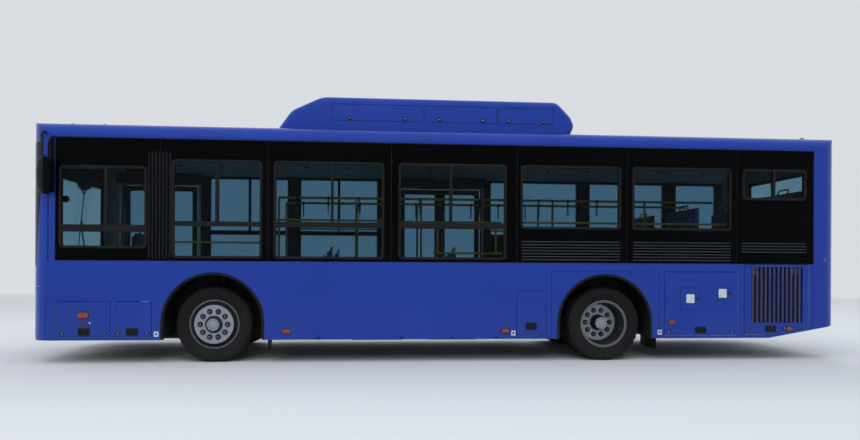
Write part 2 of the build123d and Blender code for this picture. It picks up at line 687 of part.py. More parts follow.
with BuildPart() as low_floor:
    add(floor.part)
    block_between((REAR, -SIDE, 0), (FIRST_STEP_X, SIDE, ROOF_HEIGHT), Mode.SUBTRACT)
low_floor.part.label = "low_floor"
export_step(low_floor.part, "parts/low_floor.step")

with BuildPart() as raised_floor:
    add(floor.part)
    block_between((FIRST_STEP_X, -SIDE, 0), (FRONT, SIDE, ROOF_HEIGHT), Mode.SUBTRACT)
raised_floor.part.label = "raised_floor"
export_step(raised_floor.part, "parts/raised_floor.step")

# Wheel boxes of flat panels, parted at every bend
with BuildPart() as wheel_boxes:
    for axle, box_y in AXLE_BOXES:
        for low, high in ((box_y, INNER_SIDE), (-INNER_SIDE, -box_y)):
            box_block(axle, BOX_RADIUS, low, high)
    block_between((REAR, -SIDE, -WIDTH), (FRONT, SIDE, FLOOR_TOP - FLOOR_THICKNESS), Mode.SUBTRACT)
    for axle, box_y in AXLE_BOXES:
        for low, high in ((box_y + BOX_WALL, SIDE), (-SIDE, -box_y - BOX_WALL)):
            box_block(axle, BOX_RADIUS - BOX_WALL, low, high, Mode.SUBTRACT)
        for side in (-1, 1):
            with Locations((axle, side * (box_y + BOX_WALL - SEAT_GAP / 2), ARCH_CENTRE)):
                Box(4 * ARCH_RADIUS, SEAT_GAP, 4 * ARCH_RADIUS, mode=Mode.SUBTRACT)
            bends = [(sector + 0.5) * 360 / BOX_SIDES for sector in range(BOX_SIDES // 2)]
            for angle in bends:
                panel_y = side * (box_y + BOX_WALL + INNER_SIDE) / 2
                with Locations(Location((axle, panel_y, ARCH_CENTRE), (0, -angle, 0))):
                    with Locations((ARCH_RADIUS, 0, 0)):
                        Box(ARCH_RADIUS, INNER_SIDE - box_y - BOX_WALL, SEAT_GAP, mode=Mode.SUBTRACT)
    with Locations((REAR_AXLE, 0, TYRE_RADIUS)):
        Box(AXLE_SLOT_WIDTH, WIDTH, AXLE_SLOT_HEIGHT, mode=Mode.SUBTRACT)
    for slot_end in (-AXLE_SLOT_WIDTH / 2, AXLE_SLOT_WIDTH / 2):
        with Locations((REAR_AXLE + slot_end, 0, ARCH_CENTRE)):
            Box(SEAT_GAP, 2 * (REAR_BOX_Y + BOX_WALL), 4 * ARCH_RADIUS, mode=Mode.SUBTRACT)
    add(cabin_block, mode=Mode.INTERSECT)
wheel_boxes.part.label = "wheel_boxes"
export_step(wheel_boxes.part, "parts/wheel_boxes.step")


def wheel_plane(x, y, side):
    """Plane through a wheel's axis: its own x runs outward and its own y is the radius."""
    return Plane(origin=(x, y, TYRE_RADIUS), x_dir=(0, side, 0), z_dir=(side, 0, 0))


# Section of a tyre, round from its inner bead: distance across from its middle, radius to the flats
TYRE_SECTION = (
    (-BEAD_HALF_WIDTH, FLANGE_RADIUS),
    (-TYRE_HALF_WIDTH, BELLY_RADIUS),
    (-SHOULDER_HALF_WIDTH, SHOULDER_RADIUS),
    (-TREAD_HALF_WIDTH, TYRE_RADIUS),
    (TREAD_HALF_WIDTH, TYRE_RADIUS),
    (SHOULDER_HALF_WIDTH, SHOULDER_RADIUS),
    (TYRE_HALF_WIDTH, BELLY_RADIUS),
    (BEAD_HALF_WIDTH, FLANGE_RADIUS),
    (BEAD_HALF_WIDTH, BEAD_RADIUS + SEAT_GAP),
    (-BEAD_HALF_WIDTH, BEAD_RADIUS + SEAT_GAP),
)


def tyre_corners(axle, y, radius):
    """Corners of the polygon with TYRE_SIDES flats round a wheel's axis, at one y."""
    corner_radius = radius / math.cos(math.pi / TYRE_SIDES)
    turns = [(flat + 0.5) * 2 * math.pi / TYRE_SIDES for flat in range(TYRE_SIDES)]
    return [
        (axle + corner_radius * math.cos(turn), y, TYRE_RADIUS + corner_radius * math.sin(turn))
        for turn in turns
    ]


def faceted_tyre(axle, middle):
    """Tyre of flat facets about its own middle, with its beads against the rim."""
    rings = [tyre_corners(axle, middle + across, radius) for across, radius in TYRE_SECTION]
    facets = []
    for ring, next_ring in zip(rings, rings[1:] + rings[:1]):
        for flat in range(TYRE_SIDES):
            after = (flat + 1) % TYRE_SIDES
            corners = (ring[flat], ring[after], next_ring[after], next_ring[flat])
            facets.append(Face(Wire.make_polygon(corners)))
    return Solid(Shell(facets))


def rim_outline(middle):
    """Section of a rim barrel with its two flanges, about its own middle."""
    flange_end = BEAD_HALF_WIDTH + FLANGE_THICKNESS
    with Locations((middle, BEAD_RADIUS - RIM_WALL / 2)):
        Rectangle(2 * flange_end, RIM_WALL)
    for sign in (-1, 1):
        flange_middle = middle + sign * (BEAD_HALF_WIDTH + FLANGE_THICKNESS / 2 + SEAT_GAP / 2)
        with Locations((flange_middle, (BEAD_RADIUS + FLANGE_RADIUS) / 2 - RIM_WALL / 2)):
            Rectangle(FLANGE_THICKNESS - SEAT_GAP, FLANGE_RADIUS - BEAD_RADIUS + RIM_WALL)


def disc_outline(face, foot, rim_inner):
    """Section of a wheel disc from the hub out to its foot in the rim, face being its outer side."""
    back = face - DISC_THICKNESS
    foot_back = foot - DISC_THICKNESS
    turn = math.copysign(DISC_THICKNESS, foot - face)
    with BuildLine() as outline:
        Polyline(
            (face, HUB_CAP_RADIUS),
            (face, DISC_FACE_RADIUS),
            (foot, rim_inner),
            (foot_back, rim_inner),
            (back, DISC_FACE_RADIUS + turn),
            (back, HUB_CAP_RADIUS),
            close=True,
        )
    make_face(outline.edges())


def hub_outline(inner_end, face, cap_end):
    """Section of a hub with its cap."""
    with BuildLine() as outline:
        Polyline(
            (inner_end, 0),
            (inner_end, HUB_RADIUS),
            (face, HUB_RADIUS),
            (face + HUB_STEP, HUB_CAP_RADIUS),
            (cap_end - HUB_STEP / 2, HUB_CAP_RADIUS),
            (cap_end, HUB_CAP_RADIUS - HUB_STEP / 2),
            (cap_end, 0),
            close=True,
        )
    make_face(outline.edges())


def drum_outline(inner_end, face):
    """Section of a brake drum, open on its inner side."""
    length = face - inner_end
    with Locations((inner_end + length / 2, DRUM_RADIUS - DRUM_WALL / 2)):
        Rectangle(length, DRUM_WALL)
    with Locations((face - DRUM_FACE / 2, (DRUM_RADIUS + HUB_RADIUS) / 2)):
        Rectangle(DRUM_FACE, DRUM_RADIUS - HUB_RADIUS)


RIM_INNER = BEAD_RADIUS - RIM_WALL / 2
WHEEL_SIDES = (("left", 1), ("right", -1))
for label, side in WHEEL_SIDES:
    # Front wheel: one tyre on a rim whose disc bulges outward
    front_y = side * FRONT_WHEEL_Y
    front_axis = Axis((FRONT_AXLE, front_y, TYRE_RADIUS), (0, 1, 0))
    with BuildPart() as front_tyre:
        add(faceted_tyre(FRONT_AXLE, front_y))
    front_tyre.part.label = f"front_{label}_tyre"
    export_step(front_tyre.part, f"parts/front_{label}_tyre.step")

    with BuildPart() as front_rim:
        with BuildSketch(wheel_plane(FRONT_AXLE, front_y, side)):
            rim_outline(0.0)
            disc_outline(DISC_OFFSET, DISC_FOOT_OFFSET, RIM_INNER)
            hub_outline(HUB_INNER_END, DISC_OFFSET, DISC_OFFSET + HUB_CAP_LENGTH)
            drum_outline(DRUM_INNER_END, HUB_INNER_END + DRUM_FACE)
        revolve(axis=front_axis)
        face_plane = Plane.XZ.offset(-(front_y + side * DISC_OFFSET))
        with BuildSketch(face_plane):
            with Locations((FRONT_AXLE, TYRE_RADIUS)):
                with PolarLocations(STUD_CIRCLE / 2, STUD_COUNT):
                    Circle(STUD_RADIUS)
        extrude(amount=-side * STUD_LENGTH)
        bore_end = front_y + side * SPINDLE_END
        with BuildSketch(Plane.XZ.offset(-bore_end)):
            with Locations((FRONT_AXLE, TYRE_RADIUS)):
                Circle(SPINDLE_RADIUS + RUNNING_GAP)
        extrude(amount=side * (SPINDLE_END + TYRE_RADIUS), mode=Mode.SUBTRACT)
    front_rim.part.label = f"front_{label}_rim"
    export_step(front_rim.part, f"parts/front_{label}_rim.step")

    # Rear twin wheel: two tyres, two rims back to back on one hub
    twin_y = side * TWIN_MIDDLE_Y
    twin_axis = Axis((REAR_AXLE, twin_y, TYRE_RADIUS), (0, 1, 0))
    with BuildPart() as rear_tyres:
        for sign in (-1, 1):
            add(faceted_tyre(REAR_AXLE, twin_y + sign * TWIN_OFFSET))
    rear_tyres.part.label = f"rear_{label}_tyres"
    export_step(rear_tyres.part, f"parts/rear_{label}_tyres.step")

    with BuildPart() as rear_rims:
        with BuildSketch(wheel_plane(REAR_AXLE, twin_y, side)):
            for sign in (-1, 1):
                rim_outline(sign * TWIN_OFFSET)
            disc_outline(DISC_THICKNESS, TWIN_OFFSET - DISC_FOOT_OFFSET, RIM_INNER)
            disc_outline(0, DISC_FOOT_OFFSET + DISC_THICKNESS - TWIN_OFFSET, RIM_INNER)
            hub_outline(TWIN_HUB_INNER_END, 0, TWIN_CAP_END)
            drum_outline(TWIN_DRUM_INNER_END, -DISC_THICKNESS)
        revolve(axis=twin_axis)
        face_plane = Plane.XZ.offset(-(twin_y + side * DISC_THICKNESS))
        with BuildSketch(face_plane):
            with Locations((REAR_AXLE, TYRE_RADIUS)):
                with PolarLocations(STUD_CIRCLE / 2, STUD_COUNT):
                    Circle(STUD_RADIUS)
        extrude(amount=-side * STUD_LENGTH)
        bore_end = twin_y + side * SPINDLE_END
        with BuildSketch(Plane.XZ.offset(-bore_end)):
            with Locations((REAR_AXLE, TYRE_RADIUS)):
                Circle(SPINDLE_RADIUS + RUNNING_GAP)
        extrude(amount=side * (SPINDLE_END + TYRE_RADIUS), mode=Mode.SUBTRACT)
    rear_rims.part.label = f"rear_{label}_rims"
    export_step(rear_rims.part, f"parts/rear_{label}_rims.step")

    # Knuckle: two lugs on the kingpin, a web, the spindle and the steering arm
    kingpin_y = side * KINGPIN_Y
    web_inner = kingpin_y + side * (EYE_RADIUS + KNUCKLE_WEB_GAP)
    web_middle = web_inner + side * KNUCKLE_WEB / 2
    lug_foot = EYE_HALF_HEIGHT + LUG_GAP
    lug_middle = lug_foot + LUG_HEIGHT / 2
    with BuildPart() as knuckle:
        with Locations((FRONT_AXLE, web_middle, TYRE_RADIUS)):
            Box(2 * KNUCKLE_HALF_WIDTH, KNUCKLE_WEB, 2 * (lug_foot + LUG_HEIGHT))
        for sign in (-1, 1):
            with Locations((FRONT_AXLE, kingpin_y, TYRE_RADIUS + sign * lug_middle)):
                Cylinder(EYE_RADIUS, LUG_HEIGHT)
            with Locations((FRONT_AXLE, (kingpin_y + web_middle) / 2, TYRE_RADIUS + sign * lug_middle)):
                Box(2 * EYE_RADIUS, abs(web_middle - kingpin_y), LUG_HEIGHT)
        with Locations((FRONT_AXLE, kingpin_y, TYRE_RADIUS)):
            Cylinder(KINGPIN_RADIUS + RUNNING_GAP, 4 * lug_middle, mode=Mode.SUBTRACT)
        spindle_end = front_y + side * (SPINDLE_END - SEAT_GAP)
        with BuildSketch(Plane.XZ.offset(-spindle_end)):
            with Locations((FRONT_AXLE, TYRE_RADIUS)):
                Circle(SPINDLE_RADIUS)
        extrude(amount=side * abs(spindle_end - web_middle))
        arm_z = TYRE_RADIUS - lug_middle
        with Locations((FRONT_AXLE - (STEERING_ARM + EYE_RADIUS) / 2, kingpin_y, arm_z)):
            Box(STEERING_ARM - EYE_RADIUS + KINGPIN_RADIUS, 2 * ARM_HALF_WIDTH, LUG_HEIGHT)
        with Locations((FRONT_AXLE - STEERING_ARM, kingpin_y, arm_z)):
            Cylinder(ARM_HALF_WIDTH, LUG_HEIGHT)
        pin_top = arm_z
        pin_bottom = TIE_ROD_HEIGHT - TIE_EYE_HALF_HEIGHT
        with Locations((FRONT_AXLE - STEERING_ARM, kingpin_y, (pin_top + pin_bottom) / 2)):
            Cylinder(TIE_PIN_RADIUS, pin_top - pin_bottom)
    knuckle.part.label = f"{label}_knuckle"
    export_step(knuckle.part, f"parts/{label}_knuckle.step")

# Tie rod between the two steering arms, with a loose eye on the right
with BuildPart() as tie_rod:
    with BuildSketch(Plane.XZ.offset(-KINGPIN_Y)):
        with Locations((FRONT_AXLE - STEERING_ARM, TIE_ROD_HEIGHT)):
            Circle(TIE_ROD_RADIUS)
    extrude(amount=2 * KINGPIN_Y)
    for side in (-1, 1):
        with Locations((FRONT_AXLE - STEERING_ARM, side * KINGPIN_Y, TIE_ROD_HEIGHT)):
            Cylinder(TIE_EYE_RADIUS, 2 * TIE_EYE_HALF_HEIGHT)
    for side, pin_gap in ((1, RUNNING_GAP), (-1, OPEN_PIN_GAP)):
        with Locations((FRONT_AXLE - STEERING_ARM, side * KINGPIN_Y, TIE_ROD_HEIGHT)):
            Cylinder(TIE_PIN_RADIUS + pin_gap, 4 * TIE_EYE_HALF_HEIGHT, mode=Mode.SUBTRACT)
tie_rod.part.label = "tie_rod"
export_step(tie_rod.part, "parts/tie_rod.step")

# Front axle: a dropped beam under the low floor, with an eye and a kingpin at each end
with BuildPart() as front_axle:
    block_between(
        (FRONT_AXLE - BEAM_HALF_WIDTH, -GOOSENECK_OUTER, BEAM_BOTTOM),
        (FRONT_AXLE + BEAM_HALF_WIDTH, GOOSENECK_OUTER, BEAM_TOP),
    )
    for side in (-1, 1):
        neck_y = side * (GOOSENECK_INNER + GOOSENECK_OUTER) / 2
        neck_top = TYRE_RADIUS + EYE_HALF_HEIGHT
        with Locations((FRONT_AXLE, neck_y, (BEAM_BOTTOM + neck_top) / 2)):
            Box(2 * BEAM_HALF_WIDTH, GOOSENECK_OUTER - GOOSENECK_INNER, neck_top - BEAM_BOTTOM)
        with Locations((FRONT_AXLE, side * (GOOSENECK_INNER + KINGPIN_Y) / 2, TYRE_RADIUS)):
            Box(EYE_RADIUS, KINGPIN_Y - GOOSENECK_INNER, 2 * EYE_HALF_HEIGHT)
        with Locations((FRONT_AXLE, side * KINGPIN_Y, TYRE_RADIUS)):
            Cylinder(EYE_RADIUS, 2 * EYE_HALF_HEIGHT)
            Cylinder(KINGPIN_RADIUS, 2 * (EYE_HALF_HEIGHT + LUG_GAP + LUG_HEIGHT))
        spring_top = ARCH_CENTRE + BOX_RADIUS - BOX_WALL - SEAT_GAP
        with Locations((FRONT_AXLE, side * FRONT_SPRING_Y, (neck_top + spring_top) / 2)):
            Cylinder(SPRING_RADIUS, spring_top - neck_top)
front_axle.part.label = "front_axle"
export_step(front_axle.part, "parts/front_axle.step")

# Rear axle: a tube with the differential in its middle and a spindle at each end
tube_end = TWIN_MIDDLE_Y + TWIN_DRUM_INNER_END - PANEL_GAP
with BuildPart() as rear_axle:
    for radius, end in ((AXLE_TUBE_RADIUS, tube_end), (SPINDLE_RADIUS, TWIN_MIDDLE_Y + SPINDLE_END - SEAT_GAP)):
        with BuildSketch(Plane.XZ):
            with Locations((REAR_AXLE, TYRE_RADIUS)):
                Circle(radius)
        extrude(amount=end, both=True)
    with Locations((REAR_AXLE, 0, TYRE_RADIUS)):
        Sphere(DIFFERENTIAL_RADIUS)
    for side in (-1, 1):
        with Locations((REAR_AXLE, side * REAR_SPRING_Y, (TYRE_RADIUS + HIGH_RAIL_BOTTOM - SEAT_GAP) / 2)):
            Cylinder(SPRING_RADIUS, HIGH_RAIL_BOTTOM - SEAT_GAP - TYRE_RADIUS)
rear_axle.part.label = "rear_axle"
export_step(rear_axle.part, "parts/rear_axle.step")

# Doors of the right side
POST_Y = -(SIDE - POST_SETBACK)
LEAF_BOTTOM = DOOR_SILL + LEAF_CLEARANCE
LEAF_TOP = DOOR_HEAD - LEAF_CLEARANCE
LEAF_OUTER = -(SIDE - LEAF_SETBACK)
LEAF_INNER = LEAF_OUTER + LEAF_THICKNESS
LOWER_ARM_TOP = LEAF_BOTTOM - ARM_GAP
UPPER_ARM_BOTTOM = LEAF_TOP + ARM_GAP
HEADER_BOTTOM = UPPER_ARM_BOTTOM + ARM_THICKNESS + HEADER_GAP
for doorway, rear_jamb, front_jamb in DOORWAYS:
    half_width = (front_jamb - rear_jamb) / 2
    arm_length = (half_width + POST_TO_JAMB + POST_TO_LEAF - LEAVES_APART / 2) / 2
    for end, jamb, toward in (("rear", rear_jamb, 1), ("front", front_jamb, -1)):
        post_x = jamb - toward * POST_TO_JAMB
        pivot_x = post_x + toward * arm_length
        leaf_half = arm_length - POST_TO_LEAF
        with BuildPart() as post:
            post_bottom = FLOOR_TOP + SEAT_GAP
            post_top = HEADER_BOTTOM - SEAT_GAP
            with Locations((post_x, POST_Y, (post_bottom + post_top) / 2)):
                Cylinder(POST_RADIUS, post_top - post_bottom)
            for arm_z, pin_low, pin_high in (
                (LOWER_ARM_TOP - ARM_THICKNESS, LOWER_ARM_TOP, LEAF_BOTTOM + PIVOT_PLATE),
                (UPPER_ARM_BOTTOM, LEAF_TOP - PIVOT_PLATE, UPPER_ARM_BOTTOM),
            ):
                with BuildSketch(Plane.XY.offset(arm_z)):
                    with Locations(((post_x + pivot_x) / 2, POST_Y)):
                        SlotOverall(arm_length + ARM_WIDTH, ARM_WIDTH)
                extrude(amount=ARM_THICKNESS)
                with Locations((pivot_x, POST_Y, (pin_low + pin_high) / 2)):
                    Cylinder(PIVOT_PIN_RADIUS, pin_high - pin_low)
        post.part.label = f"{doorway}_door_{end}_post"
        export_step(post.part, f"parts/{doorway}_door_{end}_post.step")

        with BuildPart() as leaf:
            block_between(
                (pivot_x - leaf_half, LEAF_OUTER, LEAF_BOTTOM),
                (pivot_x + leaf_half, LEAF_INNER, LEAF_TOP),
            )
            block_between(
                (pivot_x - leaf_half + LEAF_FRAME, -WIDTH, LEAF_BOTTOM + LEAF_KICK),
                (pivot_x + leaf_half - LEAF_FRAME, 0, LEAF_TOP - LEAF_FRAME),
                Mode.SUBTRACT,
            )
            for plate_z in (LEAF_BOTTOM, LEAF_TOP - PIVOT_PLATE):
                block_between(
                    (pivot_x - PIVOT_PLATE_HALF, LEAF_INNER - PIVOT_PLATE, plate_z),
                    (pivot_x + PIVOT_PLATE_HALF, POST_Y + PIVOT_PLATE_HALF, plate_z + PIVOT_PLATE),
                )
            with Locations((pivot_x, POST_Y, (LEAF_BOTTOM + LEAF_TOP) / 2)):
                Cylinder(PIVOT_PIN_RADIUS + RUNNING_GAP, LEAF_TOP, mode=Mode.SUBTRACT)
        leaf.part.label = f"{doorway}_door_{end}_leaf"
        export_step(leaf.part, f"parts/{doorway}_door_{end}_leaf.step")

        with BuildPart() as pane:
            middle_y = (LEAF_OUTER + LEAF_INNER) / 2
            block_between(
                (pivot_x - leaf_half + LEAF_FRAME + SEAT_GAP, middle_y, LEAF_BOTTOM + LEAF_KICK + SEAT_GAP),
                (pivot_x + leaf_half - LEAF_FRAME - SEAT_GAP, middle_y + LEAF_GLASS, LEAF_TOP - LEAF_FRAME - SEAT_GAP),
            )
        pane.part.label = f"{doorway}_door_{end}_glass"
        export_step(pane.part, f"parts/{doorway}_door_{end}_glass.step")

with BuildPart() as door_headers:
    for doorway, rear_jamb, front_jamb in DOORWAYS:
        block_between(
            (rear_jamb - 2 * POST_TO_JAMB, -INNER_SIDE, HEADER_BOTTOM),
            (front_jamb + 2 * POST_TO_JAMB, -INNER_SIDE + HEADER_DEPTH, HEADER_BOTTOM + HEADER_HEIGHT),
        )
    add(cabin_block, mode=Mode.INTERSECT)
door_headers.part.label = "door_headers"
export_step(door_headers.part, "parts/door_headers.step")

# Engine, gearbox and propeller shaft, as one plain heavy block
ENGINE_HALF_WIDTH = 350.0
ENGINE_FRONT = -4180.0
ENGINE_REAR = -5050.0
ENGINE_BOTTOM = 400.0
ENGINE_TOP = 1100.0
GEARBOX_FRONT = -3500.0
GEARBOX_HALF_WIDTH = 210.0
GEARBOX_TOP = 860.0
BRACKETS = (-4900.0, -4350.0)
BRACKET_LENGTH = 80.0
BRACKET_BOTTOM = 800.0
BRACKET_TOP = 880.0
RAIL_INNER_FACE = 390.0
SHAFT_RADIUS = 45.0
with BuildPart() as engine:
    block_between((ENGINE_REAR, -ENGINE_HALF_WIDTH, ENGINE_BOTTOM), (ENGINE_FRONT, ENGINE_HALF_WIDTH, ENGINE_TOP))
    block_between((ENGINE_FRONT, -GEARBOX_HALF_WIDTH, ENGINE_BOTTOM), (GEARBOX_FRONT, GEARBOX_HALF_WIDTH, GEARBOX_TOP))
    for bracket_x in BRACKETS:
        with Locations((bracket_x, 0, (BRACKET_BOTTOM + BRACKET_TOP) / 2)):
            Box(BRACKET_LENGTH, 2 * (RAIL_INNER_FACE - SEAT_GAP), BRACKET_TOP - BRACKET_BOTTOM)
    shaft_end = REAR_AXLE - DIFFERENTIAL_RADIUS - SEAT_GAP
    with BuildSketch(Plane.YZ.offset(GEARBOX_FRONT)):
        with Locations((0, TYRE_RADIUS)):
            Circle(SHAFT_RADIUS)
    extrude(amount=shaft_end - GEARBOX_FRONT)
engine.part.label = "engine"
export_step(engine.part, "parts/engine.step")

# Frame below the floor
FRAME_DEPTH = 70.0
FRAME_WIDTH = 60.0
LOW_RAIL_Y = 420.0
AXLE_GAP_REAR = 2640.0
AXLE_GAP_FRONT = 3080.0
FRAME_FRONT = 4800.0
FRAME_REAR = -5180.0
FRAME_POST_X = -1560.0
HIGH_CROSS_DEPTH = 30.0
TOW_EYE_X = 5030.0
TOW_EYE_Z = 255.0
TOW_EYE_DEPTH = 40.0
TOW_EYE_RADIUS = 45.0
TOW_BORE_RADIUS = 22.0
LOW_CROSS = (4760.0, 4000.0, 3150.0, 2570.0, 1800.0, 1000.0, 200.0, -600.0)
HIGH_CROSS = (-1590.0, -2600.0, -3300.0, -3900.0)
low_top = FLOOR_TOP - FLOOR_THICKNESS
high_top = REAR_FLOOR_TOP - FLOOR_THICKNESS
with BuildPart() as low_frame:
    for side in (-1, 1):
        for rear, front in ((FRAME_POST_X, AXLE_GAP_REAR), (AXLE_GAP_FRONT, FRAME_FRONT)):
            with Locations(((rear + front) / 2, side * LOW_RAIL_Y, low_top - FRAME_DEPTH / 2)):
                Box(front - rear, FRAME_WIDTH, FRAME_DEPTH)
    for cross_x in LOW_CROSS:
        with Locations((cross_x, 0, low_top - FRAME_DEPTH / 2)):
            Box(FRAME_WIDTH, 2 * LOW_RAIL_Y, FRAME_DEPTH)
    for side in (-1, 1):
        with Locations(((FRAME_FRONT + TOW_EYE_X) / 2, side * LOW_RAIL_Y, TOW_EYE_Z)):
            Box(TOW_EYE_X - FRAME_FRONT + FRAME_WIDTH, FRAME_WIDTH, TOW_EYE_DEPTH)
        with Locations((TOW_EYE_X, side * LOW_RAIL_Y, TOW_EYE_Z)):
            Cylinder(TOW_EYE_RADIUS, TOW_EYE_DEPTH)
            Cylinder(TOW_BORE_RADIUS, 2 * TOW_EYE_DEPTH, mode=Mode.SUBTRACT)
low_frame.part.label = "low_frame"
export_step(low_frame.part, "parts/low_frame.step")

with BuildPart() as high_frame:
    for side in (-1, 1):
        with Locations((FRAME_POST_X - FRAME_WIDTH / 2, side * LOW_RAIL_Y, (low_top - FRAME_DEPTH + high_top) / 2)):
            Box(FRAME_WIDTH, FRAME_WIDTH, high_top - low_top + FRAME_DEPTH)
        with Locations(((FRAME_REAR + FRAME_POST_X) / 2, side * LOW_RAIL_Y, high_top - HIGH_RAIL_DEPTH / 2)):
            Box(FRAME_POST_X - FRAME_REAR, FRAME_WIDTH, HIGH_RAIL_DEPTH)
    for cross_x in HIGH_CROSS:
        with Locations((cross_x, 0, high_top - HIGH_CROSS_DEPTH / 2)):
            Box(FRAME_WIDTH, 2 * LOW_RAIL_Y, HIGH_CROSS_DEPTH)
high_frame.part.label = "high_frame"
export_step(high_frame.part, "parts/high_frame.step")

# Seats of the passengers and the driver, facing forward: x of the seat's back edge, middle y, floor height, width
SEAT_WIDE = 880.0
SEAT_NARROW = 440.0
DRIVER_WIDTH = 480.0
DRIVER_Y = 700.0
SEATS = (
    (1500.0, 950.0, FLOOR_TOP, SEAT_NARROW),
    (700.0, 950.0, FLOOR_TOP, SEAT_NARROW),
    (-100.0, 950.0, FLOOR_TOP, SEAT_NARROW),
    (1500.0, -950.0, FLOOR_TOP, SEAT_NARROW),
    (-3350.0, 730.0, REAR_FLOOR_TOP, SEAT_WIDE),
    (-3350.0, -730.0, REAR_FLOOR_TOP, SEAT_WIDE),
    (-4040.0, 730.0, REAR_FLOOR_TOP, SEAT_WIDE),
    (-4040.0, -730.0, REAR_FLOOR_TOP, SEAT_WIDE),
    (-4840.0, 660.0, ENGINE_DECK_TOP, SEAT_WIDE),
    (-4840.0, -660.0, ENGINE_DECK_TOP, SEAT_WIDE),
    (3950.0, DRIVER_Y, PLATFORM_TOP, DRIVER_WIDTH),
)
# Outline of a seat, from the foot of its back round to its pedestal: x, height
SEAT_OUTLINE = (
    (0.0, 380.0),
    (0.0, 1060.0),
    (50.0, 1060.0),
    (100.0, 450.0),
    (430.0, 450.0),
    (430.0, 400.0),
    (270.0, 380.0),
    (270.0, 0.0),
    (120.0, 0.0),
    (120.0, 380.0),
)
with BuildPart() as seats:
    for seat_x, seat_y, base, width in SEATS:
        with BuildSketch(Plane.XZ.offset(-(seat_y + width / 2))):
            with BuildLine():
                Polyline(*[(seat_x + x, base + SEAT_GAP + z) for x, z in SEAT_OUTLINE], close=True)
            make_face()
        extrude(amount=width)
seats.part.label = "seats"
export_step(seats.part, "parts/seats.step")

# Dashboard with the steering wheel on its column
DASH_REAR = 4700.0
DASH_FRONT = 5080.0
DASH_INNER = -380.0
DASH_OUTER = 1100.0
DASH_TOP = 1120.0
with BuildPart() as fascia:
    block_between((DASH_REAR, PLATFORM_INNER, PLATFORM_TOP + SEAT_GAP), (DASH_FRONT, DASH_OUTER, DASH_TOP))
    block_between((DASH_REAR + 2 * WALL, DASH_INNER, FLOOR_TOP + SEAT_GAP), (DASH_FRONT, PLATFORM_INNER, DASH_TOP))
    block_between((DASH_REAR, PLATFORM_INNER - SEAT_GAP, 0), (FRONT, PLATFORM_INNER, PLATFORM_TOP), Mode.SUBTRACT)
    add(cabin_block, mode=Mode.INTERSECT)

WHEEL_RING_RADIUS = 225.0
WHEEL_RING_SECTION = 15.0
STEERING_X = 4520.0
STEERING_Z = 1180.0
STEERING_TILT = 25.0
COLUMN_RADIUS = 35.0
COLUMN_LENGTH = 420.0
SPOKE_WIDTH = 40.0
SPOKE_THICKNESS = 16.0
tilt = math.radians(STEERING_TILT)
steering_plane = Plane(
    origin=(STEERING_X, DRIVER_Y, STEERING_Z),
    x_dir=(0, 1, 0),
    z_dir=(-math.sin(tilt), 0, math.cos(tilt)),
)
with BuildPart(steering_plane) as steering_wheel:
    Torus(WHEEL_RING_RADIUS, WHEEL_RING_SECTION)
    Box(2 * WHEEL_RING_RADIUS, SPOKE_WIDTH, SPOKE_THICKNESS)
    with Locations((0, 0, -COLUMN_LENGTH / 2)):
        Cylinder(COLUMN_RADIUS, COLUMN_LENGTH)

with BuildPart() as dashboard:
    add(fascia.part)
    add(steering_wheel.part)
dashboard.part.label = "dashboard"
export_step(dashboard.part, "parts/dashboard.step")

# Wall behind the driver
PARTITION_X = 3700.0
PARTITION_THICKNESS = 30.0
PARTITION_TOP = 2000.0
with BuildPart() as partition:
    block_between(
        (PARTITION_X, PLATFORM_INNER, PLATFORM_TOP),
        (PARTITION_X + PARTITION_THICKNESS, INNER_SIDE, PARTITION_TOP),
    )
partition.part.label = "driver_partition"
export_step(partition.part, "parts/driver_partition.step")

# Handrails: rails along the windows and the ceiling, with stanchions
RAIL_RADIUS = 17.0
STANCHION_RADIUS = 15.0
CEILING_RAIL_Y = 430.0
CEILING_RAIL_Z = 2150.0
LOW_STANCHIONS = (2250.0, 1200.0, 300.0)
HIGH_STANCHIONS = (-1560.0, -2900.0)
RAIL_REACH = 1000.0
with BuildPart() as handrails:
    for side in (-1, 1):
        with BuildSketch(Plane.YZ.offset(HIGH_STANCHIONS[-1] - RAIL_REACH)):
            with Locations((side * CEILING_RAIL_Y, CEILING_RAIL_Z)):
                Circle(RAIL_RADIUS)
        extrude(amount=LOW_STANCHIONS[0] - HIGH_STANCHIONS[-1] + RAIL_REACH)
        for stanchions, base in ((LOW_STANCHIONS, FLOOR_TOP), (HIGH_STANCHIONS, REAR_FLOOR_TOP)):
            for stanchion_x in stanchions:
                with BuildSketch(Plane.XY.offset(base + SEAT_GAP)):
                    with Locations((stanchion_x, side * CEILING_RAIL_Y)):
                        Circle(STANCHION_RADIUS)
                extrude(amount=CEILING_RAIL_Z - base)
handrails.part.label = "handrails"
export_step(handrails.part, "parts/handrails.step")

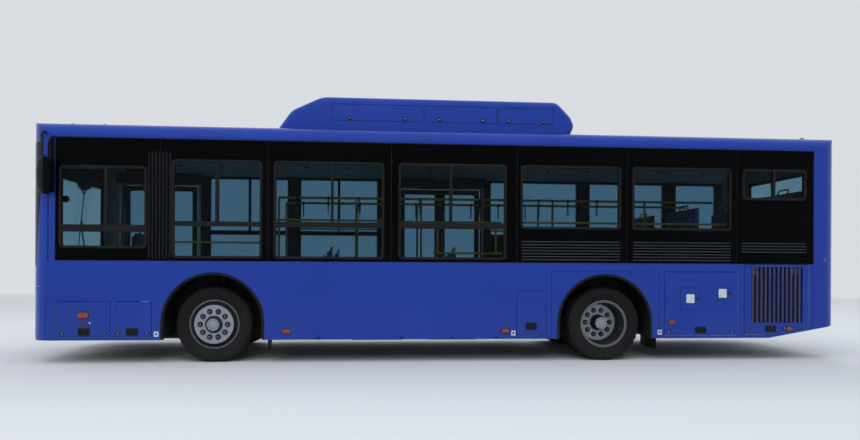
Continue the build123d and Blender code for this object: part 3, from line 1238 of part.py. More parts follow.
# Outside mirrors on their arms
MIRROR_X = 4930.0
MIRROR_Y = 1390.0
MIRROR_BOTTOM = 2069.0
MIRROR_TOP = 2515.0
MIRROR_DEPTH = 110.0
MIRROR_WIDTH = 220.0
MIRROR_ARM_RADIUS = 16.0
MIRROR_ARM_FOOT = (4990.0, 1130.0, 2830.0)
with BuildPart() as mirrors:
    for side in (-1, 1):
        with Locations((MIRROR_X, side * MIRROR_Y, (MIRROR_BOTTOM + MIRROR_TOP) / 2)):
            Box(MIRROR_DEPTH, MIRROR_WIDTH, MIRROR_TOP - MIRROR_BOTTOM)
    fillet(mirrors.edges().filter_by(Axis.X), 30)
    for side in (-1, 1):
        with BuildLine() as arm_path:
            Polyline(
                (MIRROR_ARM_FOOT[0], side * MIRROR_ARM_FOOT[1], MIRROR_ARM_FOOT[2]),
                (MIRROR_X, side * MIRROR_Y, MIRROR_ARM_FOOT[2]),
                (MIRROR_X, side * MIRROR_Y, MIRROR_TOP - 2 * MIRROR_ARM_RADIUS),
            )
        with BuildSketch(Plane(origin=arm_path.line @ 0, z_dir=arm_path.line % 0)):
            Circle(MIRROR_ARM_RADIUS)
        sweep(path=arm_path.line, transition=Transition.RIGHT)
    add(seat_block, mode=Mode.SUBTRACT)
mirrors.part.label = "mirrors"
export_step(mirrors.part, "parts/mirrors.step")
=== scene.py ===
"""City bus: finishes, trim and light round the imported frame.

Everything is in metres in the frame of the part: +X forward, +Y to the left side, +Z up, ground at z = 0.
"""

from __future__ import annotations

import json
import logging
import math
from dataclasses import dataclass
from enum import Enum
from typing import Callable, Optional, Sequence

import bmesh
import bpy
from mathutils import Matrix, Vector

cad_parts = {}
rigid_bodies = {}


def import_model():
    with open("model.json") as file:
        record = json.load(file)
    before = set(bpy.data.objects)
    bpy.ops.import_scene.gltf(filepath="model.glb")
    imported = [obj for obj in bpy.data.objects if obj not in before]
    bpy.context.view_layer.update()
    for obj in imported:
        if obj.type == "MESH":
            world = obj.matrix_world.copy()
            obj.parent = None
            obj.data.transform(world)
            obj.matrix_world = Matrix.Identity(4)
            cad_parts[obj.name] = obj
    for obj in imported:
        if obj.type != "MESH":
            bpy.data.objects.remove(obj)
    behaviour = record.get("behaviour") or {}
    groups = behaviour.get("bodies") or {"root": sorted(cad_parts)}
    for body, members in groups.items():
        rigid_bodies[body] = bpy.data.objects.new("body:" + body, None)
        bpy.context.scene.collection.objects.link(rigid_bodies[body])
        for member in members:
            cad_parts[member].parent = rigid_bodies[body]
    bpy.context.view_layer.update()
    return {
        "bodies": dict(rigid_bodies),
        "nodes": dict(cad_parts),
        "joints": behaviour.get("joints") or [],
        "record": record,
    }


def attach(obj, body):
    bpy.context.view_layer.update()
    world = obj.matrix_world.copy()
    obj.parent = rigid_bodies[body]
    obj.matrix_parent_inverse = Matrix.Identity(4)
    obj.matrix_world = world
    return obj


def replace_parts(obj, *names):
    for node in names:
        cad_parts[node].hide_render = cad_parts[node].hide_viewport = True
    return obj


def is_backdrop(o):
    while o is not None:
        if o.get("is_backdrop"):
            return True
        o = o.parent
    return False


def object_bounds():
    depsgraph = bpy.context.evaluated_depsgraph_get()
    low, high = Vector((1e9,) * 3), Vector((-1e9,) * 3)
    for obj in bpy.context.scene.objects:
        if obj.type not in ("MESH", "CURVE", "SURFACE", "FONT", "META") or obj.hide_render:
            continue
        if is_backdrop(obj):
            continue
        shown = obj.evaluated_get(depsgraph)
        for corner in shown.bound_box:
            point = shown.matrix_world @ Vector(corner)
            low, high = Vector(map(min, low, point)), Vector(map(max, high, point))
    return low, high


log = logging.getLogger("city_bus")

Colour = tuple[float, float, float]
Point = Sequence[float]
Place = Callable[[float, float, float], Point]
Loop = Sequence[tuple[float, float]]
Span = tuple[float, float]
Socket = bpy.types.NodeSocket
Sockets = bpy.types.bpy_prop_collection
SIGNS = (1, -1)


class Side(Enum):
    """A side of the bus; the value is the sign of y there."""

    LEFT = 1
    RIGHT = -1

    @property
    def label(self) -> str:
        """Name of the side as the nodes use it."""
        return self.name.lower()


# Node groups and finishes


class NodeSheet:
    """Node tree of a material or a group, with short ways to add and join nodes."""

    def __init__(self, tree: bpy.types.NodeTree) -> None:
        """Takes over an empty tree.

        Args:
            tree: Node tree that gets the nodes.
        """
        self.tree = tree
        self.count = 0

    def add(self, kind: str, values: Optional[dict] = None, **attributes: object) -> bpy.types.Node:
        """Adds a node, sets its attributes and sets or links its inputs.

        Args:
            kind: Blender's name of the node type.
            values: Input name or number to a constant or to a socket that is linked.
            **attributes: Properties of the node itself.

        Returns:
            The new node.
        """
        node = self.tree.nodes.new(kind)
        for key, value in attributes.items():
            setattr(node, key, value)
        for key, value in (values or {}).items():
            socket = node.inputs[key]
            if isinstance(value, Socket):
                self.tree.links.new(value, socket)
            else:
                socket.default_value = (*value, 1.0) if socket.type == "RGBA" else value
        node.location = (240 * (self.count % 7), -280 * (self.count // 7))
        self.count += 1
        return node

    def maths(self, operation: str, a: object, b: object = 0.0, clamp: bool = False) -> Socket:
        """Result of a Math node on a and b."""
        return self.add("ShaderNodeMath", {0: a, 1: b}, operation=operation, use_clamp=clamp).outputs[0]

    def spread(self, value: object, low: float, high: float, start: float, end: float) -> Socket:
        """Value mapped from low..high to start..end, clamped."""
        inputs = {"Value": value, "From Min": low, "From Max": high, "To Min": start, "To Max": end}
        return self.add("ShaderNodeMapRange", inputs, clamp=True).outputs[0]

    def blend(self, share: object, a: object, b: object) -> Socket:
        """Colour between a and b."""
        return self.add("ShaderNodeMix", {0: share, 6: a, 7: b}, data_type="RGBA").outputs[2]

    def noise(self, vector: object, scale: object, detail: float = 3.0, rough: float = 0.55) -> Socket:
        """Noise value at vector."""
        inputs = {"Vector": vector, "Scale": scale, "Detail": detail, "Roughness": rough}
        return self.add("ShaderNodeTexNoise", inputs).outputs[0]

    def place(self) -> Socket:
        """Coordinates of the piece itself, in metres."""
        return self.add("ShaderNodeTexCoord").outputs["Object"]

    def parts(self, vector: object) -> Sockets:
        """The x, y and z of a vector."""
        return self.add("ShaderNodeSeparateXYZ", {0: vector}).outputs

    def varied(self, colour: Colour, value: object) -> Socket:
        """Colour made lighter or darker by value."""
        return self.add("ShaderNodeHueSaturation", {"Value": value, "Color": colour}).outputs[0]

    def bump(self, height: object, distance: float, strength: float = 1.0) -> Socket:
        """Normal bent by a height that is worth distance metres."""
        values = {"Strength": strength, "Distance": distance, "Height": height}
        return self.add("ShaderNodeBump", values).outputs[0]

    def surface(self, values: dict) -> Socket:
        """Principled shader with the given inputs."""
        return self.add("ShaderNodeBsdfPrincipled", values).outputs[0]

    def mixed(self, share: object, a: object, b: object) -> Socket:
        """Shader between a and b."""
        return self.add("ShaderNodeMixShader", {0: share, 1: a, 2: b}).outputs[0]

    def light_through(self, shader: object, colour: Colour) -> Socket:
        """Shader that lets lamp light through in the given colour."""
        clear = self.add("ShaderNodeBsdfTransparent", {"Color": colour}).outputs[0]
        return self.mixed(self.add("ShaderNodeLightPath").outputs["Is Shadow Ray"], shader, clear)

    def seen(self) -> Socket:
        """1 on rays that show a thing to the camera, also through glass and in a reflection."""
        rays = self.add("ShaderNodeLightPath").outputs
        seen = self.maths("MAXIMUM", rays["Is Camera Ray"], rays["Is Transmission Ray"])
        return self.maths("MAXIMUM", seen, rays["Is Glossy Ray"])


@dataclass(frozen=True)
class Effect:
    """A shader node group that several finishes share, built when it is first used.

    Attributes:
        name: Name of the group.
        inputs: Input name to default value; a tuple makes a colour socket.
        outputs: Names of the outputs; one named Colour is a colour socket.
        maker: Adds the nodes and gives the results in the order of the outputs.
    """

    name: str
    inputs: dict[str, object]
    outputs: tuple[str, str]
    maker: Callable[[NodeSheet, Sockets], tuple]

    def use(self, sheet: NodeSheet, **values: object) -> Sockets:
        """Places the group in a material and gives its outputs."""
        tree = bpy.data.node_groups.get(self.name) or self.build()
        return sheet.add("ShaderNodeGroup", values, node_tree=tree).outputs

    def build(self) -> bpy.types.NodeTree:
        """Makes the group."""
        tree = bpy.data.node_groups.new(self.name, "ShaderNodeTree")
        for key, value in self.inputs.items():
            kind = "NodeSocketColor" if isinstance(value, tuple) else "NodeSocketFloat"
            socket = tree.interface.new_socket(name=key, in_out="INPUT", socket_type=kind)
            socket.default_value = (*value, 1.0) if isinstance(value, tuple) else value
        for key in self.outputs:
            kind = "NodeSocketColor" if key == "Colour" else "NodeSocketFloat"
            tree.interface.new_socket(name=key, in_out="OUTPUT", socket_type=kind)
        sheet = NodeSheet(tree)
        results = self.maker(sheet, sheet.add("NodeGroupInput").outputs)
        sheet.add("NodeGroupOutput", dict(enumerate(results)))
        return tree


def make_road_film(sheet: NodeSheet, given: Sockets) -> tuple:
    """Dried road spray that thins out with height."""
    place = sheet.place()
    height = sheet.parts(place)[2]
    fall = sheet.maths("DIVIDE", sheet.maths("SUBTRACT", given["Top"], height), given["Top"], clamp=True)
    fall = sheet.maths("POWER", fall, 1.6)
    stretched = sheet.add("ShaderNodeMapping", {"Vector": place, "Scale": (1.0, 1.0, 0.35)}).outputs[0]
    cloud = sheet.spread(sheet.noise(stretched, 3.1, 6.0, 0.62), 0.32, 0.72, 0.25, 1.0)
    spots = sheet.spread(sheet.noise(place, 85.0, 3.0), 0.5, 0.75, 0.6, 1.0)
    mask = sheet.maths("MULTIPLY", sheet.maths("MULTIPLY", fall, cloud), spots)
    mask = sheet.maths("MULTIPLY", mask, given["Amount"], clamp=True)
    return sheet.blend(mask, given["Colour"], given["Film"]), mask


def make_worn_edge(sheet: NodeSheet, given: Sockets) -> tuple:
    """Paint or skin rubbed off at sharp edges."""
    edge = sheet.spread(sheet.add("ShaderNodeNewGeometry").outputs["Pointiness"], 0.52, 0.62, 0.0, 1.0)
    patch = sheet.spread(sheet.noise(sheet.place(), 42.0, 5.0, 0.6), 0.45, 0.65, 0.0, 1.0)
    mask = sheet.maths("MULTIPLY", sheet.maths("MULTIPLY", edge, patch), given["Amount"], clamp=True)
    return sheet.blend(mask, given["Colour"], given["Worn"]), mask


def make_fine_grain(sheet: NodeSheet, given: Sockets) -> tuple:
    """Small uneven grain, with a gloss that changes over wide patches."""
    place = sheet.place()
    grain = sheet.noise(place, given["Scale"], 4.0)
    smear = sheet.maths("SUBTRACT", sheet.noise(place, 2.3, 5.0, 0.6), 0.5)
    rough = sheet.maths("ADD", given["Roughness"], sheet.maths("MULTIPLY", smear, given["Change"]),
                        clamp=True)
    return rough, grain


def make_weave(sheet: NodeSheet, given: Sockets) -> tuple:
    """Threads that cross each other."""
    parts = sheet.parts(sheet.place())
    up = sheet.maths("ADD", parts[2], parts[0])
    across, along = (sheet.maths("SINE", sheet.maths("MULTIPLY", way, given["Scale"]))
                     for way in (parts[1], up))
    height = sheet.maths("MULTIPLY", across, along)
    share = sheet.spread(height, -0.4, 0.4, 0.0, 1.0)
    return sheet.blend(share, given["Warp"], given["Weft"]), height


def make_fleck(sheet: NodeSheet, given: Sockets) -> tuple:
    """Hard little chips in a plain ground."""
    cells = sheet.add("ShaderNodeTexVoronoi", {"Vector": sheet.place(), "Scale": given["Scale"]}).outputs
    mask = sheet.maths("LESS_THAN", sheet.parts(cells["Color"])[0], given["Share"])
    mask = sheet.maths("MULTIPLY", mask, sheet.spread(cells["Distance"], 0.2, 0.35, 1.0, 0.0))
    return sheet.blend(mask, given["Colour"], given["Chip"]), mask


MID_GREY = (0.5, 0.5, 0.5)
ROAD_FILM = Effect("road film", {"Colour": MID_GREY, "Film": (0.25, 0.245, 0.24), "Amount": 0.3, "Top": 1.1},
                   ("Colour", "Mask"), make_road_film)
WORN_EDGE = Effect("worn edge", {"Colour": MID_GREY, "Worn": (0.6, 0.6, 0.6), "Amount": 0.3},
                   ("Colour", "Mask"), make_worn_edge)
FINE_GRAIN = Effect("fine grain", {"Scale": 200.0, "Roughness": 0.5, "Change": 0.1},
                    ("Roughness", "Height"), make_fine_grain)
WEAVE = Effect("weave", {"Warp": (0.1, 0.1, 0.1), "Weft": (0.2, 0.2, 0.2), "Scale": 260.0},
               ("Colour", "Height"), make_weave)
FLECK = Effect("fleck", {"Colour": (0.2, 0.2, 0.2), "Chip": (0.6, 0.6, 0.6), "Share": 0.5, "Scale": 300.0},
               ("Colour", "Mask"), make_fleck)


@dataclass(frozen=True)
class Finish:
    """A finish: one material made of nodes, built when it is first asked for."""

    name: str
    colour: Colour

    def material(self) -> bpy.types.Material:
        """The finish's material."""
        found = bpy.data.materials.get(self.name)
        if found is None:
            found = bpy.data.materials.new(self.name)
            found.use_nodes = True
            found.node_tree.nodes.clear()
            sheet = NodeSheet(found.node_tree)
            sheet.add("ShaderNodeOutputMaterial", {"Surface": self.shade(sheet)})
            found.diffuse_color = (*self.colour, 1.0)
        return found

    def shade(self, sheet: NodeSheet) -> Socket:
        """Builds the nodes; each kind of finish has its own.

        Args:
            sheet: Sheet of the material.

        Returns:
            The shader's output socket.
        """
        raise NotImplementedError


@dataclass(frozen=True)
class BodyPaint(Finish):
    """Gloss paint of the body, with a pale lining on the faces that look into the cabin."""

    lining: Optional[Colour] = None
    film: float = 0.09
    gloss: float = 0.32
    ripple: float = 0.0012
    peel: float = 0.00003
    coat_ior: float = 1.27

    def shade(self, sheet: NodeSheet) -> Socket:
        """Paint with road film, a slight ripple of the sheet metal and a clear coat."""
        place = sheet.place()
        tone = sheet.spread(sheet.noise(place, 0.9, 3.0), 0.3, 0.7, 0.94, 1.06)
        film = ROAD_FILM.use(sheet, Colour=sheet.varied(self.colour, tone), Amount=self.film)
        grain = FINE_GRAIN.use(sheet, Scale=420.0, Roughness=self.gloss, Change=0.12)
        colour = film["Colour"]
        dull = sheet.maths("MULTIPLY", film["Mask"], 0.45)
        rough = sheet.maths("ADD", grain["Roughness"], dull, clamp=True)
        coat = sheet.maths("SUBTRACT", 1.0, sheet.maths("MULTIPLY", film["Mask"], 1.6), clamp=True)
        if self.lining is not None:
            inside = self.cabin_side(sheet)
            colour = sheet.blend(inside, colour, self.lining)
            rough = sheet.maths("MAXIMUM", rough, sheet.maths("MULTIPLY", inside, 0.6))
            coat = sheet.maths("MULTIPLY", coat, sheet.maths("SUBTRACT", 1.0, inside))
        ripple = sheet.maths("MULTIPLY", sheet.noise(place, 2.2, 1.0), self.ripple)
        peel = sheet.maths("MULTIPLY", grain["Height"], self.peel)
        normal = sheet.bump(sheet.maths("ADD", ripple, peel), 1.0)
        return sheet.surface({"Base Color": colour, "Roughness": rough, "Normal": normal, "Coat Weight": coat,
                              "Coat Roughness": 0.04, "Coat IOR": self.coat_ior, "Specular IOR Level": 0.1,
                              "IOR": 1.5})

    @staticmethod
    def cabin_side(sheet: NodeSheet) -> Socket:
        """1 on faces that look towards the cabin's middle, 0 on the outer ones."""
        geometry = sheet.add("ShaderNodeNewGeometry").outputs
        vector = geometry["Position"]
        for operation, other in (("SUBTRACT", (0.0, 0.0, 1.7)), ("MULTIPLY", (0.2, 0.8, 0.75))):
            vector = sheet.add("ShaderNodeVectorMath", {0: vector, 1: other}, operation=operation).outputs[0]
        facing = sheet.add("ShaderNodeVectorMath", {0: vector, 1: geometry["True Normal"]},
                           operation="DOT_PRODUCT")
        return sheet.spread(facing.outputs["Value"], -0.3, -0.28, 1.0, 0.0)


@dataclass(frozen=True)
class Glazing(Finish):
    """Tinted window glass that lets a little light through to the cabin."""

    shadow: Colour = (0.28, 0.33, 0.35)
    wave: float = 0.0006
    ior: float = 1.15

    def shade(self, sheet: NodeSheet) -> Socket:
        """Clear tinted body with a thin film of dust and a faint wave."""
        place = sheet.place()
        dust = sheet.spread(sheet.noise(place, 7.0, 6.0, 0.65), 0.45, 0.8, 0.02, 0.14)
        pane = sheet.surface({"Base Color": self.colour, "Roughness": dust, "Transmission Weight": 1.0,
                              "Normal": sheet.bump(sheet.noise(place, 1.7, 1.0), self.wave), "IOR": self.ior})
        return sheet.light_through(pane, self.shadow)


@dataclass(frozen=True)
class Plain(Finish):
    """Moulded plastic, rubber, bare or painted metal: a grained surface with film and worn edges."""

    roughness: float = 0.5
    change: float = 0.2
    metallic: float = 0.0
    grain: float = 260.0
    depth: float = 0.0001
    film: float = 0.0
    film_top: float = 1.1
    worn: Colour = MID_GREY
    wear: float = 0.0
    coat: float = 0.0
    mottle: float = 0.08
    gleam: float = 0.4

    def shade(self, sheet: NodeSheet) -> Socket:
        """Grained surface of the kind that the fields describe."""
        cloud = sheet.noise(sheet.place(), 11.0, 5.0, 0.6)
        tone = sheet.spread(cloud, 0.3, 0.7, 1.0 - self.mottle, 1.0 + self.mottle)
        colour = sheet.varied(self.colour, tone)
        grain = FINE_GRAIN.use(sheet, Scale=self.grain, Roughness=self.roughness, Change=self.change)
        rough = grain["Roughness"]
        if self.wear:
            colour = WORN_EDGE.use(sheet, Colour=colour, Worn=self.worn, Amount=self.wear)["Colour"]
        if self.film:
            film = ROAD_FILM.use(sheet, Colour=colour, Amount=self.film, Top=self.film_top)
            colour = film["Colour"]
            rough = sheet.maths("ADD", rough, sheet.maths("MULTIPLY", film["Mask"], 0.4), clamp=True)
        normal = sheet.bump(grain["Height"], self.depth)
        return sheet.surface({"Base Color": colour, "Roughness": rough, "Metallic": self.metallic,
                              "Normal": normal, "Coat Weight": self.coat, "Coat Roughness": 0.08,
                              "Coat IOR": 1.32, "Specular IOR Level": self.gleam})


@dataclass(frozen=True)
class LampLens(Finish):
    """Coloured or clear lamp lens with fine optic ribs."""

    clear: float = 0.75
    rib: float = 520.0
    ior: float = 1.49

    def shade(self, sheet: NodeSheet) -> Socket:
        """Lens that shows the reflector behind it through its ribs."""
        place = sheet.place()
        parts = sheet.parts(place)
        ribs = sheet.maths("SINE", sheet.maths("MULTIPLY", sheet.maths("ADD", parts[1], parts[0]), self.rib))
        rough = sheet.spread(sheet.noise(place, 30.0, 4.0), 0.3, 0.8, 0.03, 0.14)
        lens = sheet.surface({"Base Color": self.colour, "Roughness": rough, "IOR": self.ior,
                              "Normal": sheet.bump(ribs, 0.0004, 0.6), "Transmission Weight": self.clear})
        return sheet.light_through(lens, self.colour)


@dataclass(frozen=True)
class SeatCloth(Finish):
    """Short-pile seat cloth."""

    weft: Colour = (0.05, 0.08, 0.2)
    threads: float = 1300.0

    def shade(self, sheet: NodeSheet) -> Socket:
        """Woven ground with sheen."""
        cloth = WEAVE.use(sheet, Warp=self.colour, Weft=self.weft, Scale=self.threads)
        rub = sheet.spread(sheet.noise(sheet.place(), 9.0, 4.0), 0.35, 0.7, 0.75, 0.95)
        return sheet.surface({"Base Color": cloth["Colour"], "Roughness": rub, "Sheen Weight": 0.35,
                              "Normal": sheet.bump(cloth["Height"], 0.0004)})


@dataclass(frozen=True)
class FloorCovering(Finish):
    """Non-slip floor covering with pale chips."""

    chip: Colour = (0.5, 0.5, 0.52)
    share: float = 0.3
    cells: float = 260.0

    def shade(self, sheet: NodeSheet) -> Socket:
        """Grained ground with chips, scuffed where people walk."""
        chips = FLECK.use(sheet, Colour=self.colour, Chip=self.chip, Share=self.share, Scale=self.cells)
        grain = FINE_GRAIN.use(sheet, Scale=180.0, Roughness=0.7, Change=0.25)
        return sheet.surface({"Base Color": chips["Colour"], "Roughness": grain["Roughness"],
                              "Normal": sheet.bump(grain["Height"], 0.0003)})


BLUE = (0.007, 0.038, 0.31)
BODY_BLUE = BodyPaint("body blue with cabin lining", BLUE, lining=(0.42, 0.43, 0.44))
PANEL_BLUE = BodyPaint("panel blue", BLUE)
ROOF_BLUE = BodyPaint("roof blue", BLUE, film=0.0)
BAND_BLACK = Plain("band black", (0.003, 0.0035, 0.006), roughness=0.2, change=0.1, depth=0.000004, coat=0.35,
                   gleam=0.1)
TINTED = Glazing("tinted glass", (0.235, 0.375, 0.46))
SCREEN_GLASS = Glazing("screen glass", (0.46, 0.6, 0.65), shadow=(0.45, 0.5, 0.5))
SEAL_RUBBER = Plain("seal rubber", (0.005, 0.005, 0.006), depth=0.00008, film=0.04, gleam=0.2)
TYRE_RUBBER = Plain("tyre rubber", (0.006, 0.006, 0.007), roughness=0.7, grain=340.0, depth=0.0003, film=0.12,
                    film_top=1.3, mottle=0.2, gleam=0.14)
RIM_SILVER = Plain("rim silver", (0.27, 0.3, 0.36), roughness=0.36, metallic=0.5, film=0.3, film_top=1.4,
                   worn=(0.1, 0.09, 0.08), wear=0.35, coat=0.2)
# Rim nodes: near-black colour that is partly grime and partly painted shade in the well between the disc
# cover and the flange; the worn edges are lighter.
RIM_WELL_GRIME_AND_SHADE = Plain("rim well grime", (0.02, 0.022, 0.026), roughness=0.6, metallic=0.2, film=0.12, film_top=1.4,
                 worn=(0.12, 0.13, 0.15), wear=0.5, gleam=0.2)
RING_BRIGHT = Plain("bright trim ring", (0.3, 0.3, 0.3), roughness=0.3, metallic=1.0, film=0.25)
NUT_DARK = Plain("nut steel", (0.06, 0.06, 0.065), roughness=0.42, metallic=0.8, film=0.25, wear=0.5)
CHASSIS = Plain("chassis black", (0.01, 0.01, 0.012), roughness=0.62, depth=0.0002, film=0.25, film_top=1.2,
                gleam=0.25)
ENGINE_IRON = Plain("engine iron", (0.09, 0.09, 0.095), roughness=0.6, metallic=0.5, depth=0.0006, film=0.5)
DARK_PLASTIC = Plain("dark plastic", (0.006, 0.006, 0.008), roughness=0.46, grain=520.0, film=0.05,
                     gleam=0.25)
GREY_PLASTIC = Plain("grey plastic", (0.2, 0.205, 0.21), grain=480.0, depth=0.0002)
CEILING = Plain("ceiling panel", (0.5, 0.51, 0.51), roughness=0.55, grain=300.0)
SLAT_GREY = Plain("slat grey", (0.022, 0.021, 0.078), roughness=0.4, film=0.12, wear=0.15, coat=0.2)
LOUVRE_PALE = Plain("louvre line", (0.025, 0.034, 0.05), roughness=0.4, metallic=0.2)
RAIL_YELLOW = Plain("rail yellow", (0.8, 0.4, 0.015), roughness=0.38, wear=0.3, worn=(0.5, 0.5, 0.48),
                    coat=0.3)
STEEL = Plain("brushed steel", MID_GREY, roughness=0.32, metallic=1.0)
MIRROR_GLASS = Plain("mirror glass", (0.85, 0.87, 0.88), roughness=0.03, change=0.02, metallic=1.0,
                     depth=0.00001)
REFLECTOR = Plain("reflector", (0.8, 0.8, 0.82), roughness=0.12, metallic=1.0, depth=0.00005)
CLEAR_LENS = LampLens("clear lens", (0.92, 0.94, 0.96), clear=0.95)
RED_LENS = LampLens("red lens", (0.62, 0.01, 0.012))
AMBER_LENS = LampLens("amber lens", (0.9, 0.22, 0.01))
MARKER_RED = Plain("marker red", (0.25, 0.035, 0.014), roughness=0.3, coat=0.7, film=0.15)
MARKER_DULL = Plain("dull marker", (0.045, 0.018, 0.05), roughness=0.45, film=0.2)
PLATE_WHITE = Plain("plate white", (0.6, 0.62, 0.64), roughness=0.4, film=0.3)
SIGN_DARK = Plain("sign glass", (0.006, 0.006, 0.007), roughness=0.1, change=0.05, coat=1.0)
SEAT_SHELL = Plain("seat shell", (0.03, 0.06, 0.19), roughness=0.4, grain=420.0, depth=0.00015)
SEAT_CLOTH = SeatCloth("seat cloth", (0.03, 0.045, 0.12))
FLOOR_COVER = FloorCovering("floor covering", (0.1, 0.105, 0.11))
DOOR_FRAME = Plain("door frame black", (0.006, 0.006, 0.008), roughness=0.3, depth=0.00002, coat=0.4,
                   film=0.06, gleam=0.2)


# Forms

FRONT_END = 5.25
SIDE_Y = 1.25
BOW_RADIUS = 5.6
CORNER_RADIUS = 0.26
KNEE_Z = 1.1
LEAN_ABOVE = 0.0513
LEAN_BELOW = 0.0317
KNEE_REACH = 0.166
KNEE_SHARE = 8.0
FRONT_AXLE = 2.95
REAR_AXLE = -2.05
HUB_Z = 0.478
SHARP = 32.0
NODE_SHARP = 28.0


def front_x(y: float, z: float) -> float:
    """x of the bus's front surface at y and z: a bow with round corners, leaning back from a soft knee."""
    reach = BOW_RADIUS - CORNER_RADIUS
    corner_y = SIDE_Y - CORNER_RADIUS
    centre = FRONT_END - BOW_RADIUS
    if abs(y) <= BOW_RADIUS * corner_y / reach:
        bow = centre + math.sqrt(BOW_RADIUS**2 - y * y)
    else:
        across = min(CORNER_RADIUS, abs(y) - corner_y)
        bow = centre + math.sqrt(reach**2 - corner_y**2) + math.sqrt(CORNER_RADIUS**2 - across**2)
    lean = FRONT_END - (LEAN_ABOVE * (z - KNEE_Z) if z > KNEE_Z else LEAN_BELOW * (KNEE_Z - z))
    lean -= max(0.0, KNEE_REACH - abs(z - KNEE_Z)) ** 2 / KNEE_SHARE
    return min(bow, lean)


def on_side(side: Side, y: float = SIDE_Y) -> Place:
    """Outlines in x and z on a side of the bus; depth counts outward."""
    return lambda u, v, depth: (u, side.value * (y + depth), v)


def on_front(u: float, v: float, depth: float) -> Point:
    """Outlines in y and z on the curved front; depth counts outward."""
    return (front_x(u, v) + depth, u, v)


def on_rear(u: float, v: float, depth: float) -> Point:
    """Outlines in y and z on the flat rear; depth counts outward."""
    return (-FRONT_END - depth, u, v)


def rounded(low: Point, high: Point, radius: float, steps: int = 6) -> list[tuple[float, float]]:
    """Rectangle with rounded corners, as points in order."""
    left, right = low[0] + radius, high[0] - radius
    foot, head = low[1] + radius, high[1] - radius
    points = []
    for index, (u, v) in enumerate(((right, foot), (right, head), (left, head), (left, foot))):
        for step in range(steps + 1):
            angle = math.radians(-90 + 90 * index + 90 * step / steps)
            points.append((u + radius * math.cos(angle), v + radius * math.sin(angle)))
    return points


def knob(radius: float, side: float, edge: float, shoulder: float, top: Optional[float] = None) -> list[Span]:
    """Profile for a lathe: a round stub with a chamfer from side to edge and an end at top."""
    end = edge if top is None else top
    return [(0.0, 0.0), (0.0, radius), (side, radius), (edge, shoulder), (end, 0.0)]


def bent(path: Sequence[Point], radius: float, steps: int = 6) -> list[Vector]:
    """Path whose inner corners are rounded."""
    points = [Vector(point) for point in path]
    result = [points[0]]
    for before, corner, after in zip(points, points[1:], points[2:]):
        back, ahead = (before - corner), (after - corner)
        reach = min(radius, 0.45 * back.length, 0.45 * ahead.length)
        start, end = corner + back.normalized() * reach, corner + ahead.normalized() * reach
        for step in range(steps + 1):
            t = step / steps
            result.append(start * (1 - t) ** 2 + corner * 2 * t * (1 - t) + end * t * t)
    result.append(points[-1])
    return result


def circle(steps: int, start: float = 0.0) -> list[float]:
    """Angles of even steps round a full turn."""
    return [2 * math.pi * (step + start) / steps for step in range(steps)]


